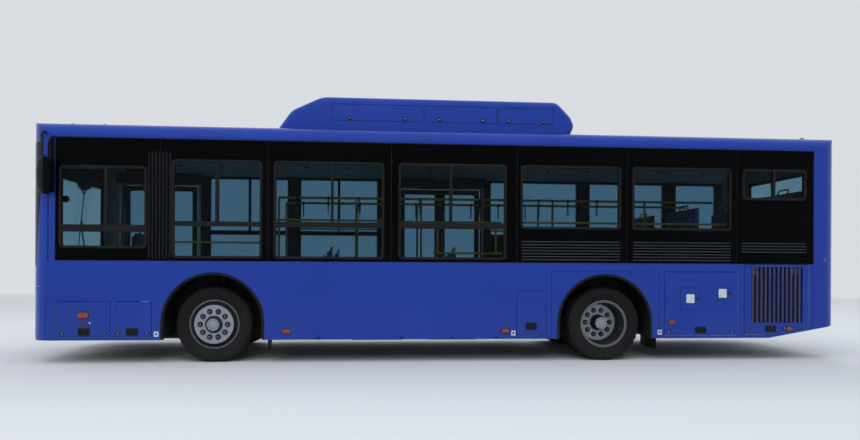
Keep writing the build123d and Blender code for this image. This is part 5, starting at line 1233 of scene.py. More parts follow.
@dataclass
class RearEnd:
    """Lamps, louvred engine door, screen border and a blank plate, all inside the rear face."""

    LAMP_X = -5.222
    LOUVRES = 15

    def build(self) -> None:
        """Makes everything on the rear."""
        form = Form("rear_lamp_units", on_rear)
        housing = [(0.001, 0.0), (0.002, 0.04), (0.014, 0.062), (0.02, 0.066), (0.02, 0.07), (0.0, 0.07)]
        for y in (0.935, -0.935):
            form.box((self.LAMP_X, y - 0.0745, 0.951), (-5.2, y + 0.0745, 1.449), DARK_PLASTIC, 0.004)
            form.seal((y - 0.0745, 0.9505), (y + 0.0745, 1.4495), 0.02, 0.007, (-0.05, -0.0012), DARK_PLASTIC)
            for z, lens in ((1.365, AMBER_LENS), (1.2, RED_LENS), (1.035, CLEAR_LENS)):
                form.lathe(housing, (self.LAMP_X, y, z), REFLECTOR, 40, 0, -1)
                form.lathe(knob(0.0655, 0.012, 0.022, 0.055, 0.0255), (self.LAMP_X, y, z), lens, 40, 0, -1)
        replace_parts(form.done(slot="red_lamp"), "tail_lamps")
        form = Form("high_brake_lamp", on_rear)
        form.box((-5.243, -0.2, 2.66), (-5.2, 0.2, 2.7), RED_LENS, 0.004)
        form.seal((-0.206, 2.654), (0.206, 2.706), 0.012, 0.006, (-0.03, -0.0006), DARK_PLASTIC)
        form.done(slot="red_lamp")
        form = Form("rear_window_border", on_rear)
        form.seal((-0.962, 1.738), (0.962, 2.612), 0.09, 0.022, (-0.03, -0.0006), SEAL_RUBBER)
        form.seal((-0.942, 1.758), (0.942, 2.592), 0.075, 0.05, (-0.03, -0.009), BAND_BLACK)
        form.done(slot="black_frame")
        self.engine_door()
        form = Form("rear_seams", on_rear)
        form.box((-5.2497, -1.05, 0.7475), (-5.24, 1.05, 0.7525), SEAL_RUBBER)
        for sign in SIGNS:
            form.plate((sign * 0.62, 0.65), (0.05, 0.03), 0.02, (-0.02, -0.0004), MARKER_RED, 0.004)
            form.box((-5.1, sign * 1.243, 1.31), (-5.04, sign * 1.2535, 1.36), CLEAR_LENS, 0.003)
        form.done(slot="black_frame")

    def engine_door(self) -> None:
        """Engine door with a pressed field of louvres, a handle and the blank plate."""
        form = Form("louvred_engine_door", on_rear)
        outer = rounded((-0.7735, 0.8065), (0.7735, 1.5535), 0.012)
        inner = rounded((-0.6435, 0.9065), (0.6435, 1.4335), 0.04)
        form.ring(outer, inner, (-0.05, -0.0006), PANEL_BLUE)
        form.box((-5.206, -0.6535, 0.8965), (-5.2, 0.6535, 1.4435), CHASSIS)
        for number in range(self.LOUVRES):
            z = 0.926 + number * 0.0352
            blade = [(-5.2485, z), (-5.2425, z + 0.006), (-5.212, z + 0.03), (-5.212, z + 0.026),
                     (-5.245, z - 0.003)]
            form.layers([[(x, y, height) for x, height in blade] for y in (-0.641, 0.641)], PANEL_BLUE)
        for y in (-0.22, 0.22):
            form.box((-5.2475, y - 0.012, 0.915), (-5.21, y + 0.012, 1.425), PANEL_BLUE, 0.003)
        form.box((-5.2488, -0.27, 0.828), (-5.24, 0.27, 0.9), DARK_PLASTIC, 0.003)
        form.box((-5.2494, -0.262, 0.9), (-5.2435, 0.262, 1.012), PLATE_WHITE, 0.0015)
        form.slab((0.52, 0.83), (0.66, 0.885), 0.02, (-0.02, -0.0002), DARK_PLASTIC, 0.004)
        for y in (-0.5, 0.5):
            form.box((-5.203, y - 0.06, 1.44), (-5.19, y + 0.06, 1.53), STEEL, 0.003)
        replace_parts(form.done("engine_door", "blue_paint"), "engine_door")


@dataclass
class Wheel:
    """Tyre with its tread, nuts, rings and cap details of one wheel."""

    body: str
    tyre_node: str
    axle: float
    side: Side
    tyre_middles: Sequence[float]
    disc_y: float
    cap_y: float
    dished: bool

    STEPS = 240
    GROOVES = (-0.066, -0.022, 0.022, 0.066)
    WALL = (
        (0.098, 0.2895), (0.111, 0.299), (0.121, 0.316), (0.131, 0.343), (0.1365, 0.368), (0.138, 0.392),
        (0.1368, 0.4), (0.138, 0.4015), (0.137, 0.415), (0.1345, 0.4305), (0.1322, 0.4315), (0.1312, 0.444),
        (0.126, 0.456), (0.1185, 0.4655), (0.1085, 0.4725), (0.102, 0.4742),
    )
    BLOCK_STEPS, SHOULDER_CUT, RIB_CUT = 6, -0.0075, -0.0035
    NUTS, NUT_CIRCLE, CAP_BOLTS, BOLT_CIRCLE = 10, 0.1675, 8, 0.062

    def profile(self) -> list[tuple[float, float]]:
        """Half round of the tyre's section with its grooves, from bead to bead."""
        points = [(-across, radius) for across, radius in self.WALL]
        for groove in self.GROOVES:
            points += [(groove - 0.0065, 0.4778), (groove - 0.0045, 0.465), (groove + 0.0045, 0.465),
                       (groove + 0.0065, 0.4778)]
        return points + [*reversed(self.WALL)]

    def build(self) -> None:
        """Makes the tyres and the fittings."""
        profile = self.profile()
        first, last = 12, len(profile) - 13

        def tread(index: int, step: int) -> float:
            """Cuts across the shoulders and fine cuts across the ribs."""
            across, radius = profile[index]
            if first <= index <= first + 3 or last - 3 <= index <= last:
                return self.SHOULDER_CUT if step % self.BLOCK_STEPS < 2 else 0.0
            if abs(across) < 0.08 and radius > 0.47:
                return self.RIB_CUT if (step + (0 if across < 0 else 3)) % self.BLOCK_STEPS == 0 else 0.0
            return 0.0

        tyre = Form(f"{self.body}_tread_tyre")
        for middle in self.tyre_middles:
            tyre.lathe(profile, (self.axle, middle, HUB_Z), TYRE_RUBBER, self.STEPS, change=tread)
        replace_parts(tyre.done(self.body, "tyre_rubber", 40.0), self.tyre_node)
        self.fittings()

    def fittings(self) -> None:
        """Nuts with their dark cups, rings, cap bolts and the valve."""
        sign = self.side.value
        form = Form(f"{self.body}_nuts_and_rings", on_side(self.side, abs(self.disc_y)))

        def turned(profile: Loop, y: float, finish: Finish, steps: int, x: float = self.axle,
                   z: float = HUB_Z) -> None:
            """Round piece that counts its distance outward from y."""
            form.lathe(profile, (x, y, z), finish, steps, 1, sign)

        cup = [(0.0, 0.0115), (0.0, 0.034), (0.006, 0.034), (0.008, 0.0315), (0.0055, 0.029),
               (0.0055, 0.0115)]
        stud = [(0.027, 0.0), (0.027, 0.0105), (0.041, 0.0105), (0.042, 0.009), (0.042, 0.0)]
        for turn in circle(self.NUTS):
            x, z = self.axle + self.NUT_CIRCLE * math.cos(turn), HUB_Z + self.NUT_CIRCLE * math.sin(turn)
            turned(cup, self.disc_y, BAND_BLACK, 28, x, z)
            corners = [turn + math.radians(60 * k) for k in range(6)]
            form.prism([(x + 0.0165 * math.cos(t), z + 0.0165 * math.sin(t)) for t in corners], 0.004, 0.027,
                       STEEL, 0.002)
            turned(stud, self.disc_y, NUT_DARK, 16, x, z)
        turned([(-0.001, 0.109), (-0.001, 0.2425), (0.0015, 0.2435), (0.0035, 0.241), (0.0045, 0.232),
                (0.0025, 0.222), (0.0025, 0.118), (0.004, 0.109)], self.disc_y, RIM_SILVER, 96)
        turned([(0.0, 0.0), (0.0, 0.0765), (0.003, 0.0765), (0.0, 0.0)], self.cap_y - sign * 0.0005,
               RIM_SILVER, 64)
        outer_tyre = max(self.tyre_middles, key=abs)
        turned([(0.112, 0.296), (0.1195, 0.2985), (0.1215, 0.3025), (0.1195, 0.3065), (0.114, 0.305)],
               outer_tyre, RING_BRIGHT, 96)
        if self.dished:
            turned([(0.104, 0.279), (0.1125, 0.281), (0.1135, 0.287), (0.1095, 0.291), (0.104, 0.287)],
                   outer_tyre, RING_BRIGHT, 96)
        turned(knob(0.05, 0.003, 0.005, 0.046), self.cap_y, RIM_SILVER, 48)
        for turn in circle(self.CAP_BOLTS, 0.5):
            turned(knob(0.0065, 0.004, 0.006, 0.004), self.cap_y, NUT_DARK, 12,
                   self.axle + self.BOLT_CIRCLE * math.cos(turn), HUB_Z + self.BOLT_CIRCLE * math.sin(turn))
        turned([(0.0, 0.098), (0.0, 0.104), (0.003, 0.106), (0.005, 0.102), (0.004, 0.098)], self.disc_y,
               RING_BRIGHT, 72)
        turn = math.radians(198)
        root = Vector((self.axle + 0.268 * math.cos(turn), outer_tyre + sign * 0.03,
                       HUB_Z + 0.268 * math.sin(turn)))
        valve = Vector((-0.012 * math.cos(turn), sign * 0.045, -0.012 * math.sin(turn)))
        form.tube([root, root + valve], 0.0045, RING_BRIGHT, 10)
        form.done(self.body, "bright_steel")


@dataclass
class Doors:
    """Seals and grips of the four door leaves, and the lamps over the doorways."""

    doorways: Sequence[tuple[str, float, float]] = (("front", 3.72, 4.86), ("middle", -0.78, 0.54))

    OUTER, INNER = -1.245, -1.205
    POST_IN, POST_ROOM, MEET = 0.036, 0.048, 0.005

    def build(self) -> None:
        """Makes the fittings of every leaf and the seals round the doorways."""
        frame = Form("doorway_seals", on_side(Side.RIGHT))
        for doorway, rear, front in self.doorways:
            frame.seal((rear - 0.003, 0.361), (front + 0.003, 2.469), 0.005, 0.004, (-0.048, 0.001),
                       SEAL_RUBBER)
            arm = ((front - rear) / 2 + self.POST_IN + self.POST_ROOM - self.MEET) / 2
            for end, jamb, toward in (("rear", rear, 1), ("front", front, -1)):
                self.leaf(f"{doorway}_door_{end}", jamb - toward * self.POST_IN + toward * arm, toward,
                          arm - self.POST_ROOM)
        frame.done(slot="black_frame")
        form = Form("door_header_fittings")
        for _, rear, front in self.doorways:
            middle = (rear + front) / 2
            form.box((middle - 0.1, -1.0599, 2.58), (middle + 0.1, -1.052, 2.64), CLEAR_LENS, 0.003)
            for x in (rear + 0.12, front - 0.12):
                form.lathe(knob(0.012, 0.004, 0.006, 0.006), (x, -1.06, 2.61), NUT_DARK, 16, 1)
        form.done(slot="dark_plastic")

    def leaf(self, name: str, middle: float, toward: int, half: float) -> None:
        """What one leaf carries: pane seal, edge rubber, grip and a kick plate."""
        form = Form(f"{name}_fittings", on_side(Side.RIGHT))
        form.seal((middle - half + 0.055, 0.567), (middle + half - 0.055, 2.403), 0.05, 0.024,
                  (-0.043, -0.0038), SEAL_RUBBER)
        meet = middle + toward * half
        form.box((meet - toward * 0.006, self.OUTER, 0.375), (meet + toward * 0.0035, self.INNER, 2.455),
                 SEAL_RUBBER, 0.003)
        x, y = middle + toward * (half - 0.03), self.INNER + 0.05
        path = [(x, self.INNER, 1.0), (x, y, 1.0), (x, y, 1.75), (x, self.INNER, 1.75)]
        form.tube(bent(path, 0.03), 0.013, RAIL_YELLOW, 12)
        form.box((middle - half + 0.07, self.OUTER - 0.0012, 0.4),
                 (middle + half - 0.07, self.OUTER + 0.002, 0.54), DOOR_FRAME, 0.001)
        form.done(f"{name}_leaf", "black_frame")


@dataclass
class Mirrors:
    """Outside mirrors with rounded housings, glass, rims and hanging arms."""

    LOW, HIGH, MIDDLE_Y, BACK_X = 2.069, 2.515, 1.39, 4.875

    def build(self) -> None:
        """Makes both mirrors inside the outline of their solids."""
        for side in Side:
            s = side.value
            form = Form(f"{side.label}_mirror", lambda u, v, depth: (4.88 - depth, u, v))
            self.housing(form, s)
            y = s * self.MIDDLE_Y
            for low, high in ((2.11, 2.35), (2.37, 2.475)):
                loop = rounded((y - 0.08, low), (y + 0.08, high), 0.02)
                form.layers([[(x, u, v) for u, v in loop] for x in (4.8775, 4.8755)], MIRROR_GLASS)
            form.ring(rounded((y - 0.1, 2.082), (y + 0.1, 2.5), 0.04),
                      rounded((y - 0.083, 2.1), (y + 0.083, 2.486), 0.025), (-0.003, 0.0048), DARK_PLASTIC)
            foot = Vector((4.99, s * 1.13, 2.83))
            form.tube(bent([foot, (4.93, y, 2.83), (4.93, y, 2.48)], 0.07), 0.016, DARK_PLASTIC, 16)
            form.tube([foot + Vector((0, s * 0.012, 0.0)), foot + Vector((-0.006, s * 0.035, 0))], 0.032,
                      DARK_PLASTIC, 20)
            form.tube([(4.93, y, 2.535), (4.93, y, 2.49)], 0.026, DARK_PLASTIC, 20)
            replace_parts(form.done(slot="dark_plastic"), "mirrors")

    def housing(self, form: Form, s: int) -> None:
        """Rounded shell that narrows to the front, to the top and to the foot."""
        loops = []
        for k in range(17):
            share = k / 16
            bulge = (1 - abs(2 * share - 1) ** 3.2) ** (1 / 2.4)
            z = self.LOW + (self.HIGH - self.LOW) * share
            half = 0.11 * (0.62 + 0.38 * bulge)
            depth = 4.985 - 0.04 * (1 - bulge) - 0.012 * abs(2 * share - 1) - self.BACK_X
            loop = [(self.BACK_X, -half * 0.97), (4.88, -half)]
            for step in range(13):
                turn = math.pi * step / 12
                across = -math.cos(turn) * half * (0.74 + 0.26 * abs(math.cos(turn)))
                loop.append((4.885 + (depth - 0.01) * math.sin(turn) ** 0.75, across))
            loop += [(4.88, half), (self.BACK_X, half * 0.97)]
            loops.append([(x, s * (self.MIDDLE_Y + across), z) for x, across in loop])
        form.layers(loops, DARK_PLASTIC)


@dataclass
class Underbody:
    """What hangs under the floor: air tanks, exhaust, mud flaps, hoses."""

    TANK_Z, PIPE_Y = 0.262, -0.78

    def build(self) -> None:
        """Makes the pieces between the wheels and behind them."""
        form = Form("air_tanks")
        for x, y in ((0.9, 0.72), (0.9, -0.72), (-0.1, 0.72)):
            form.tube([(x + along, y, self.TANK_Z) for along in (-0.34, -0.3, 0.3, 0.34)], 0.034, CHASSIS, 24)
            for strap in (x - 0.2, x + 0.2):
                form.box((strap - 0.012, y - 0.037, self.TANK_Z), (strap + 0.012, y + 0.037, 0.2995), STEEL,
                         0.002)
        form.done(slot="chassis_black")
        form = Form("exhaust")
        path = [(-4.3, -0.42, 0.55), (-4.0, -0.62, 0.5), (-4.6, self.PIPE_Y, 0.48), (-5.0, self.PIPE_Y, 0.5)]
        form.tube(bent(path, 0.08), 0.045, ENGINE_IRON, 20)
        form.tube([(x, self.PIPE_Y, 0.5) for x in (-4.5, -3.95)], 0.11, ENGINE_IRON, 32)
        form.done(slot="engine_iron")
        form = Form("mud_flaps")
        for x, inner, outer in ((2.28, 0.86, 1.16), (-2.76, 0.66, 1.19)):
            for sign in SIGNS:
                form.box((x - 0.005, sign * inner, 0.14), (x + 0.005, sign * outer, 0.44), SEAL_RUBBER, 0.003)
                form.box((x - 0.012, sign * inner, 0.4), (x + 0.012, sign * outer, 0.43), CHASSIS, 0.003)
        form.done(slot="chassis_black")
        form = Form("engine_dress")
        for number in range(6):
            x = -4.3 - number * 0.13
            form.box((x - 0.04, -0.33, 1.1), (x + 0.04, 0.33, 1.135), ENGINE_IRON, 0.012)
        hose = [(-5.06, 0.2, 0.75), (-5.12, 0.2, 0.75), (-5.12, -0.15, 0.95), (-5.06, -0.15, 0.95)]
        form.tube(bent(hose, 0.05), 0.028, SEAL_RUBBER, 16)
        form.lathe(knob(0.13, 0.02, 0.024, 0.11), (-5.05, 0.0, 0.72), STEEL, 48, 0, -1)
        form.done(slot="engine_iron")


@dataclass
class Interior:
    """Seats, rails, ceiling, dashboard details and the fan in the driver's window."""

    seats: Sequence[tuple[float, float, float, float]]

    BACK_TILT = math.radians(85.3)
    WIDEST_SINGLE = 0.6
    LEFT_RAILS = ((2.38, 3.43, 1.507), (0.86, 2.18, 1.8), (-0.7, 0.62, 1.79), (-0.7, 0.2, 1.39),
                  (-2.23, -0.95, 1.795), (-3.73, -2.43, 1.795))
    RIGHT_RAILS = ((0.9, 2.12, 1.8), (-2.38, -0.95, 1.795), (-3.86, -2.61, 1.795))
    FAN = (4.535, 1.12, 2.235)

    def build(self) -> None:
        """Makes everything that shows through the glass."""
        self.cushions()
        self.rails()
        self.grips()
        self.ceiling()
        self.dashboard()
        self.fan()
        self.small_things()

    def cushions(self) -> None:
        """Crowned seat and back cushions on every shell, with grab handles on the backs."""
        pads = Form("seat_cushions")
        grips = Form("seat_grips")
        for x, y, base, width in self.seats:
            single = width < self.WIDEST_SINGLE
            half = (width if single else width / 2) / 2 - 0.018
            for middle in (y,) if single else (y - width / 4, y + width / 4):
                self.pad(pads, (x + 0.262, middle, base + 0.452), (0.16, half), 0.034, 0.0)
                self.pad(pads, (x + 0.0745, middle, base + 0.78), (0.25, half), 0.026, self.BACK_TILT)
            left, right, top = y - half * 0.6, y + half * 0.6, base + 1.045
            path = [(x + 0.02, left, top), (x, left, top + 0.075), (x, right, top + 0.075),
                    (x + 0.02, right, top)]
            grips.tube(bent(path, 0.03), 0.011, RAIL_YELLOW, 12)
        pads.done(slot="seat_shell", angle=70.0)
        grips.done(slot="yellow_rail")

    @staticmethod
    def pad(form: Form, middle: Point, half: Span, height: float, tilt: float) -> None:
        """One crowned pad with a sewn border, lying flat or leaning back by tilt."""
        turn = Matrix.Translation(Vector(middle)) @ Matrix.Rotation(-tilt, 4, "Y")

        def point_at(u: float, v: float, depth: float) -> Point:
            """Point of the pad from two shares."""
            a, b = 2 * u - 1, 2 * v - 1
            edge = (1 - abs(a) ** 5) * (1 - abs(b) ** 5)
            crown = height * (0.55 * edge**0.5 + 0.45 * (1 - a * a) * (1 - b * b))
            groove = 0.006 * math.exp(-((abs(b) - 0.72) / 0.05) ** 2) * edge
            soft = 0.0022 * math.sin(9 * a + 2.0) * math.sin(7 * b + middle[0])
            lift = (crown - groove + soft * edge) * depth
            corner = 1 - 0.06 * (a * a * b * b) ** 2
            return turn @ Vector((a * half[0] * corner, b * half[1] * corner, lift))

        form.sheet(point_at, (14, 16), (0.0, 1.0), SEAT_CLOTH)

    def rails(self) -> None:
        """Yellow rails behind the windows."""
        form = Form("window_rails")
        for side, rails in ((1, self.LEFT_RAILS), (-1, self.RIGHT_RAILS)):
            for rear, front, z in rails:
                form.tube([(rear, side * 1.165, z), (front, side * 1.165, z)], 0.0135, RAIL_YELLOW, 14)
                for x in (rear + 0.06, front - 0.06):
                    form.tube([(x, side * 1.2, z), (x, side * 1.165, z)], 0.01, RAIL_YELLOW, 10)
        for x in (-0.62, 0.14):
            form.tube([(x, 1.165, 1.39), (x, 1.165, 1.79)], 0.0125, RAIL_YELLOW, 12)
        form.done(slot="yellow_rail")

    @staticmethod
    def grips() -> None:
        """Hanging grips with their sleeves and straps."""
        form = Form("hanging_grips")
        sleeve = [(-0.014, 0.0175), (-0.014, 0.0205), (0.014, 0.0205), (0.014, 0.0175)]
        for y in (0.43, -0.43):
            for number in range(11):
                x = 2.0 - number * 0.42
                form.lathe(sleeve, (x, y, 2.15), DARK_PLASTIC, 20, 0)
                form.box((x - 0.011, y - 0.0015, 2.03), (x + 0.011, y + 0.0015, 2.131), DARK_PLASTIC, 0.0006)
                outline = ((-0.012, 2.03), (-0.055, 1.95), (0.055, 1.95), (0.012, 2.03), (-0.012, 2.03))
                form.tube(bent([(x, y + across, z) for across, z in outline], 0.02), 0.006, GREY_PLASTIC, 10)
        form.done(slot="dark_plastic")

    @staticmethod
    def ceiling() -> None:
        """Ceiling panels with light strips and the air ducts along the eaves."""
        form = Form("ceiling_panels")
        for number in range(8):
            rear = -4.8 + number * 1.2
            for low, high in ((-0.62, -0.02), (0.02, 0.62)):
                form.box((rear + 0.006, low, 2.93), (rear + 1.194, high, 2.945), CEILING, 0.004)
        duct = [(0.68, 2.94), (0.68, 2.86), (1.1, 2.66), (1.19, 2.62), (1.19, 2.74), (1.12, 2.85)]
        outlet = [(0.0, 0.0), (0.0, 0.03), (0.008, 0.03), (0.012, 0.024), (0.006, 0.02), (0.006, 0.0)]
        for sign in SIGNS:
            form.layers([[(x, sign * y, z) for y, z in duct] for x in (-4.85, 4.4)], CEILING)
            form.box((-4.7, sign * 0.63, 2.915), (4.3, sign * 0.675, 2.94), CLEAR_LENS, 0.006)
            for number in range(14):
                form.lathe(outlet, (-4.4 + number * 0.64, sign * 0.9, 2.752), DARK_PLASTIC, 20, 2, -1)
        form.done(slot="floor_covering")

    @staticmethod
    def dashboard() -> None:
        """Hood with three dials, and two columns of switches."""
        form = Form("dashboard_details")
        hood = [(4.72, 1.121), (4.72, 1.16), (4.86, 1.215), (4.98, 1.2), (5.02, 1.121)]
        form.layers([[(x, y, z) for x, z in hood] for y in (0.46, 0.94)], DARK_PLASTIC)
        for y, radius in ((0.62, 0.052), (0.78, 0.052), (0.7, 0.022)):
            dial = [(0.0, 0.0), (0.0, radius), (0.005, radius), (0.007, radius - 0.004),
                    (0.003, radius - 0.006), (0.003, 0.0)]
            form.lathe(dial, (4.7155, y, 1.14), RING_BRIGHT, 32, 0, -1)
        for y in (0.98, 0.36):
            for number in range(4):
                z = 0.98 - number * 0.04
                form.box((4.688, y - 0.015, z), (4.7, y + 0.015, z + 0.026), GREY_PLASTIC, 0.003)
        form.done(slot="dark_plastic")

    def fan(self) -> None:
        """Driver's fan: motor, cage, blades and bracket, with the sensor beside it."""
        form = Form("driver_fan")
        x, y, z = self.FAN

        def spot(turn: float, reach: float, along: float, across: float = 0.0) -> Point:
            """Point of the fan at an angle, a radius and a depth."""
            return (x + reach * math.cos(turn) - across * math.sin(turn), y + along,
                    z + reach * math.sin(turn) + across * math.cos(turn))

        form.lathe([(-0.012, 0.0), (-0.012, 0.088), (0.002, 0.09), (0.012, 0.07), (0.016, 0.0)], self.FAN,
                   DARK_PLASTIC, 40)
        wire = [(-0.0022, -0.0022), (-0.0022, 0.0022), (0.0022, 0.0022), (0.0022, -0.0022)]
        for radius in (0.03, 0.055, 0.078, 0.092):
            for depth in (-0.02, 0.02):
                form.lathe([(depth + a, radius + b) for a, b in wire], self.FAN, DARK_PLASTIC, 36)
        form.lathe([(-0.03, 0.0), (-0.03, 0.03), (0.028, 0.03), (0.034, 0.018), (0.034, 0.0)], self.FAN,
                   DARK_PLASTIC, 28)
        blade = [(0.02, -0.02), (0.08, -0.032), (0.087, 0.02), (0.03, 0.028)]
        for turn in circle(5):
            form.layers([[spot(turn, reach, d + 0.25 * across, across) for reach, across in blade]
                         for d in (-0.001, 0.001)], DARK_PLASTIC)
        wire_path = ((0.02, 0.03), (0.075, 0.024), (0.092, 0.0), (0.075, -0.024))
        for turn in circle(16):
            form.tube([spot(turn, reach, depth) for reach, depth in wire_path], 0.0013, DARK_PLASTIC, 5)
        bracket = [(x, 1.12, 2.145), (x, 1.12, 2.1), (x, 1.19, 2.1), (x, 1.205, 2.14)]
        form.tube(bent(bracket, 0.03), 0.009, DARK_PLASTIC, 10)
        form.lathe([(-0.03, 0.0), (-0.024, 0.03), (0.0, 0.044), (0.02, 0.04), (0.028, 0.0)],
                   (4.755, 1.14, 2.03), DARK_PLASTIC, 28)
        form.done(slot="dark_plastic")

    @staticmethod
    def small_things() -> None:
        """Rolled sun blinds and the two pedals."""
        form = Form("driver_blind")
        form.box((4.32, 1.17, 2.4), (4.76, 1.19, 2.425), GREY_PLASTIC, 0.008)
        form.tube([(4.95, 0.25, 2.62), (4.95, 1.02, 2.62)], 0.016, GREY_PLASTIC, 16)
        form.done(slot="dark_plastic")
        form = Form("pedals")
        lean = Matrix.Rotation(math.radians(-30), 4, "Y")
        for y in (0.62, 0.78):
            form.box((4.62, y - 0.045, 0.575), (4.66, y + 0.045, 0.7), SEAL_RUBBER, 0.008, lean)
        form.done(slot="dark_plastic")


NODE_FINISHES = {
    BODY_BLUE: "left_side right_side front_panel rear_panel roof",
    PANEL_BLUE: "driver_flap battery_flap middle_flap service_flap radiator_flap right_flap engine_door "
                "bumpers",
    ROOF_BLUE: "roof_pod front_hatch rear_hatch",
    BAND_BLACK: "left_pillars right_pillars",
    TINTED: "left_glass right_glass",
    SCREEN_GLASS: "end_windows",
    CHASSIS: "low_frame high_frame wheel_boxes front_axle rear_axle left_knuckle right_knuckle tie_rod",
    ENGINE_IRON: "engine",
    FLOOR_COVER: "low_floor raised_floor",
    SEAT_SHELL: "seats",
    DARK_PLASTIC: "dashboard driver_partition mirrors door_headers",
    RAIL_YELLOW: "handrails",
    CLEAR_LENS: "headlamps",
    RED_LENS: "tail_lamps",
    TYRE_RUBBER: "front_left_tyre front_right_tyre rear_left_tyres rear_right_tyres",
    RIM_WELL_GRIME_AND_SHADE: "front_left_rim front_right_rim rear_left_rims rear_right_rims",
}
DOOR_FINISHES = {"post": STEEL, "leaf": DOOR_FRAME, "glass": TINTED}


def finish_nodes(nodes: dict[str, bpy.types.Object]) -> None:
    """Gives every node of the frame its finish.

    Args:
        nodes: Node name to object, as the frame gives them.
    """
    chosen = {name: finish for finish, names in NODE_FINISHES.items() for name in names.split()}
    for name, node in nodes.items():
        finish = DOOR_FINISHES[name.rsplit("_", 1)[1]] if "_door_" in name else chosen[name]
        node.data.materials.clear()
        node.data.materials.append(finish.material())
        node.data.shade_smooth()
        node.data.set_sharp_from_angle(angle=math.radians(NODE_SHARP))
        log.info("%s: %s", name, finish.name)


BACKGROUND = (0.7, 0.725, 0.757)


@dataclass(frozen=True)
class StudioFloor(Finish):
    """Pale floor that passes into the background far from the bus."""

    def shade(self, sheet: NodeSheet) -> Socket:
        """Matt floor near the bus, and the plain background's colour far away."""
        near = sheet.surface({"Base Color": self.colour, "Roughness": 0.9, "Specular IOR Level": 0.1})
        far = sheet.add("ShaderNodeEmission", {"Color": BACKGROUND, "Strength": 1.0}).outputs[0]
        place = sheet.add("ShaderNodeNewGeometry").outputs["Position"]
        away = sheet.add("ShaderNodeVectorMath", {0: place}, operation="LENGTH").outputs["Value"]
        share = sheet.maths("MULTIPLY", sheet.seen(), sheet.spread(away, 9.0, 26.0, 0.0, 1.0))
        return sheet.mixed(share, near, far)


@dataclass
class Studio:
    """Camera, floor, background and lamps."""

    LAMPS = (
        ("key", (3.5, 13.0, 12.5), (0.3, 0.0, 1.2), 16.0, 1500.0, (0.95, 0.97, 1.0)),
        ("sky", (0.0, 0.0, 14.0), (0.0, 0.0, 1.0), 18.0, 700.0, (0.93, 0.96, 1.0)),
        ("far", (-4.0, -13.0, 12.5), (0.0, 0.0, 1.5), 16.0, 1250.0, (0.96, 0.98, 1.0)),
        ("front", (17.0, -1.0, 9.0), (4.0, 0.0, 1.5), 14.0, 620.0, (1.0, 0.98, 0.96)),
        ("rear", (-17.0, 2.0, 9.0), (-4.0, 0.0, 1.5), 14.0, 620.0, (0.96, 0.98, 1.0)),
    )
    EYE = (0.991, 10.145, 1.245)
    RIGHT = (-0.9964609, 0.0839014, 0.0051188)
    UP = (0.0050559, -0.0009634, 0.9999868)
    BACK = (0.0839052, 0.9964736, 0.0005358)
    FLOOR_REACH = 60.0

    def build(self) -> None:
        """Makes the stage round the bus."""
        self.camera()
        self.floor()
        self.world()
        for lamp in self.LAMPS:
            self.lamp(*lamp)

    @staticmethod
    def link(name: str, data: bpy.types.ID) -> bpy.types.Object:
        """New object of the scene."""
        made = bpy.data.objects.new(name, data)
        bpy.context.scene.collection.objects.link(made)
        return made

    def camera(self) -> None:
        """Camera at the photographer's place."""
        data = bpy.data.cameras.new("camera")
        data.lens = 29.302
        data.sensor_width = 36.0
        data.shift_y = 0.052
        data.clip_end = 200.0
        camera = self.link("camera", data)
        turn = Matrix((self.RIGHT, self.UP, self.BACK)).transposed()
        camera.matrix_world = Matrix.Translation(self.EYE) @ turn.to_4x4()
        bpy.context.scene.camera = camera

    def floor(self) -> None:
        """Large pale floor."""
        mesh = bpy.data.meshes.new("studio_floor")
        reach = self.FLOOR_REACH
        square = [(-reach, -reach, 0.0), (reach, -reach, 0.0), (reach, reach, 0.0), (-reach, reach, 0.0)]
        mesh.from_pydata(square, [], [(0, 1, 2, 3)])
        mesh.materials.append(StudioFloor("studio pale", (0.68, 0.7, 0.73)).material())
        floor = self.link("studio_floor", mesh)
        floor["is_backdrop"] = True

    @staticmethod
    def world() -> None:
        """Pale background, with a weaker even light from all round."""
        world = bpy.data.worlds.new("studio")
        world.use_nodes = True
        world.node_tree.nodes.clear()
        sheet = NodeSheet(world.node_tree)
        seen = sheet.seen()
        light = sheet.add("ShaderNodeBackground", {"Color": sheet.blend(seen, (0.9, 0.94, 1.0), BACKGROUND),
                                                   "Strength": sheet.spread(seen, 0.0, 1.0, 0.42, 1.0)})
        sheet.add("ShaderNodeOutputWorld", {"Surface": light.outputs[0]})
        bpy.context.scene.world = world
        bpy.context.scene.view_settings.view_transform = "Standard"

    def lamp(self, name: str, place: Point, target: Point, size: float, power: float, colour: Colour) -> None:
        """Soft square lamp aimed at a point, which itself is never seen."""
        data = bpy.data.lights.new(name, "AREA")
        data.shape = "SQUARE"
        data.size = size
        data.energy = power
        data.color = colour
        lamp = self.link(name, data)
        lamp.location = place
        aim = Vector(target) - Vector(place)
        lamp.rotation_euler = aim.to_track_quat("-Z", "Y").to_euler()
        lamp.visible_camera = False
        lamp.visible_transmission = False
        lamp.visible_glossy = False


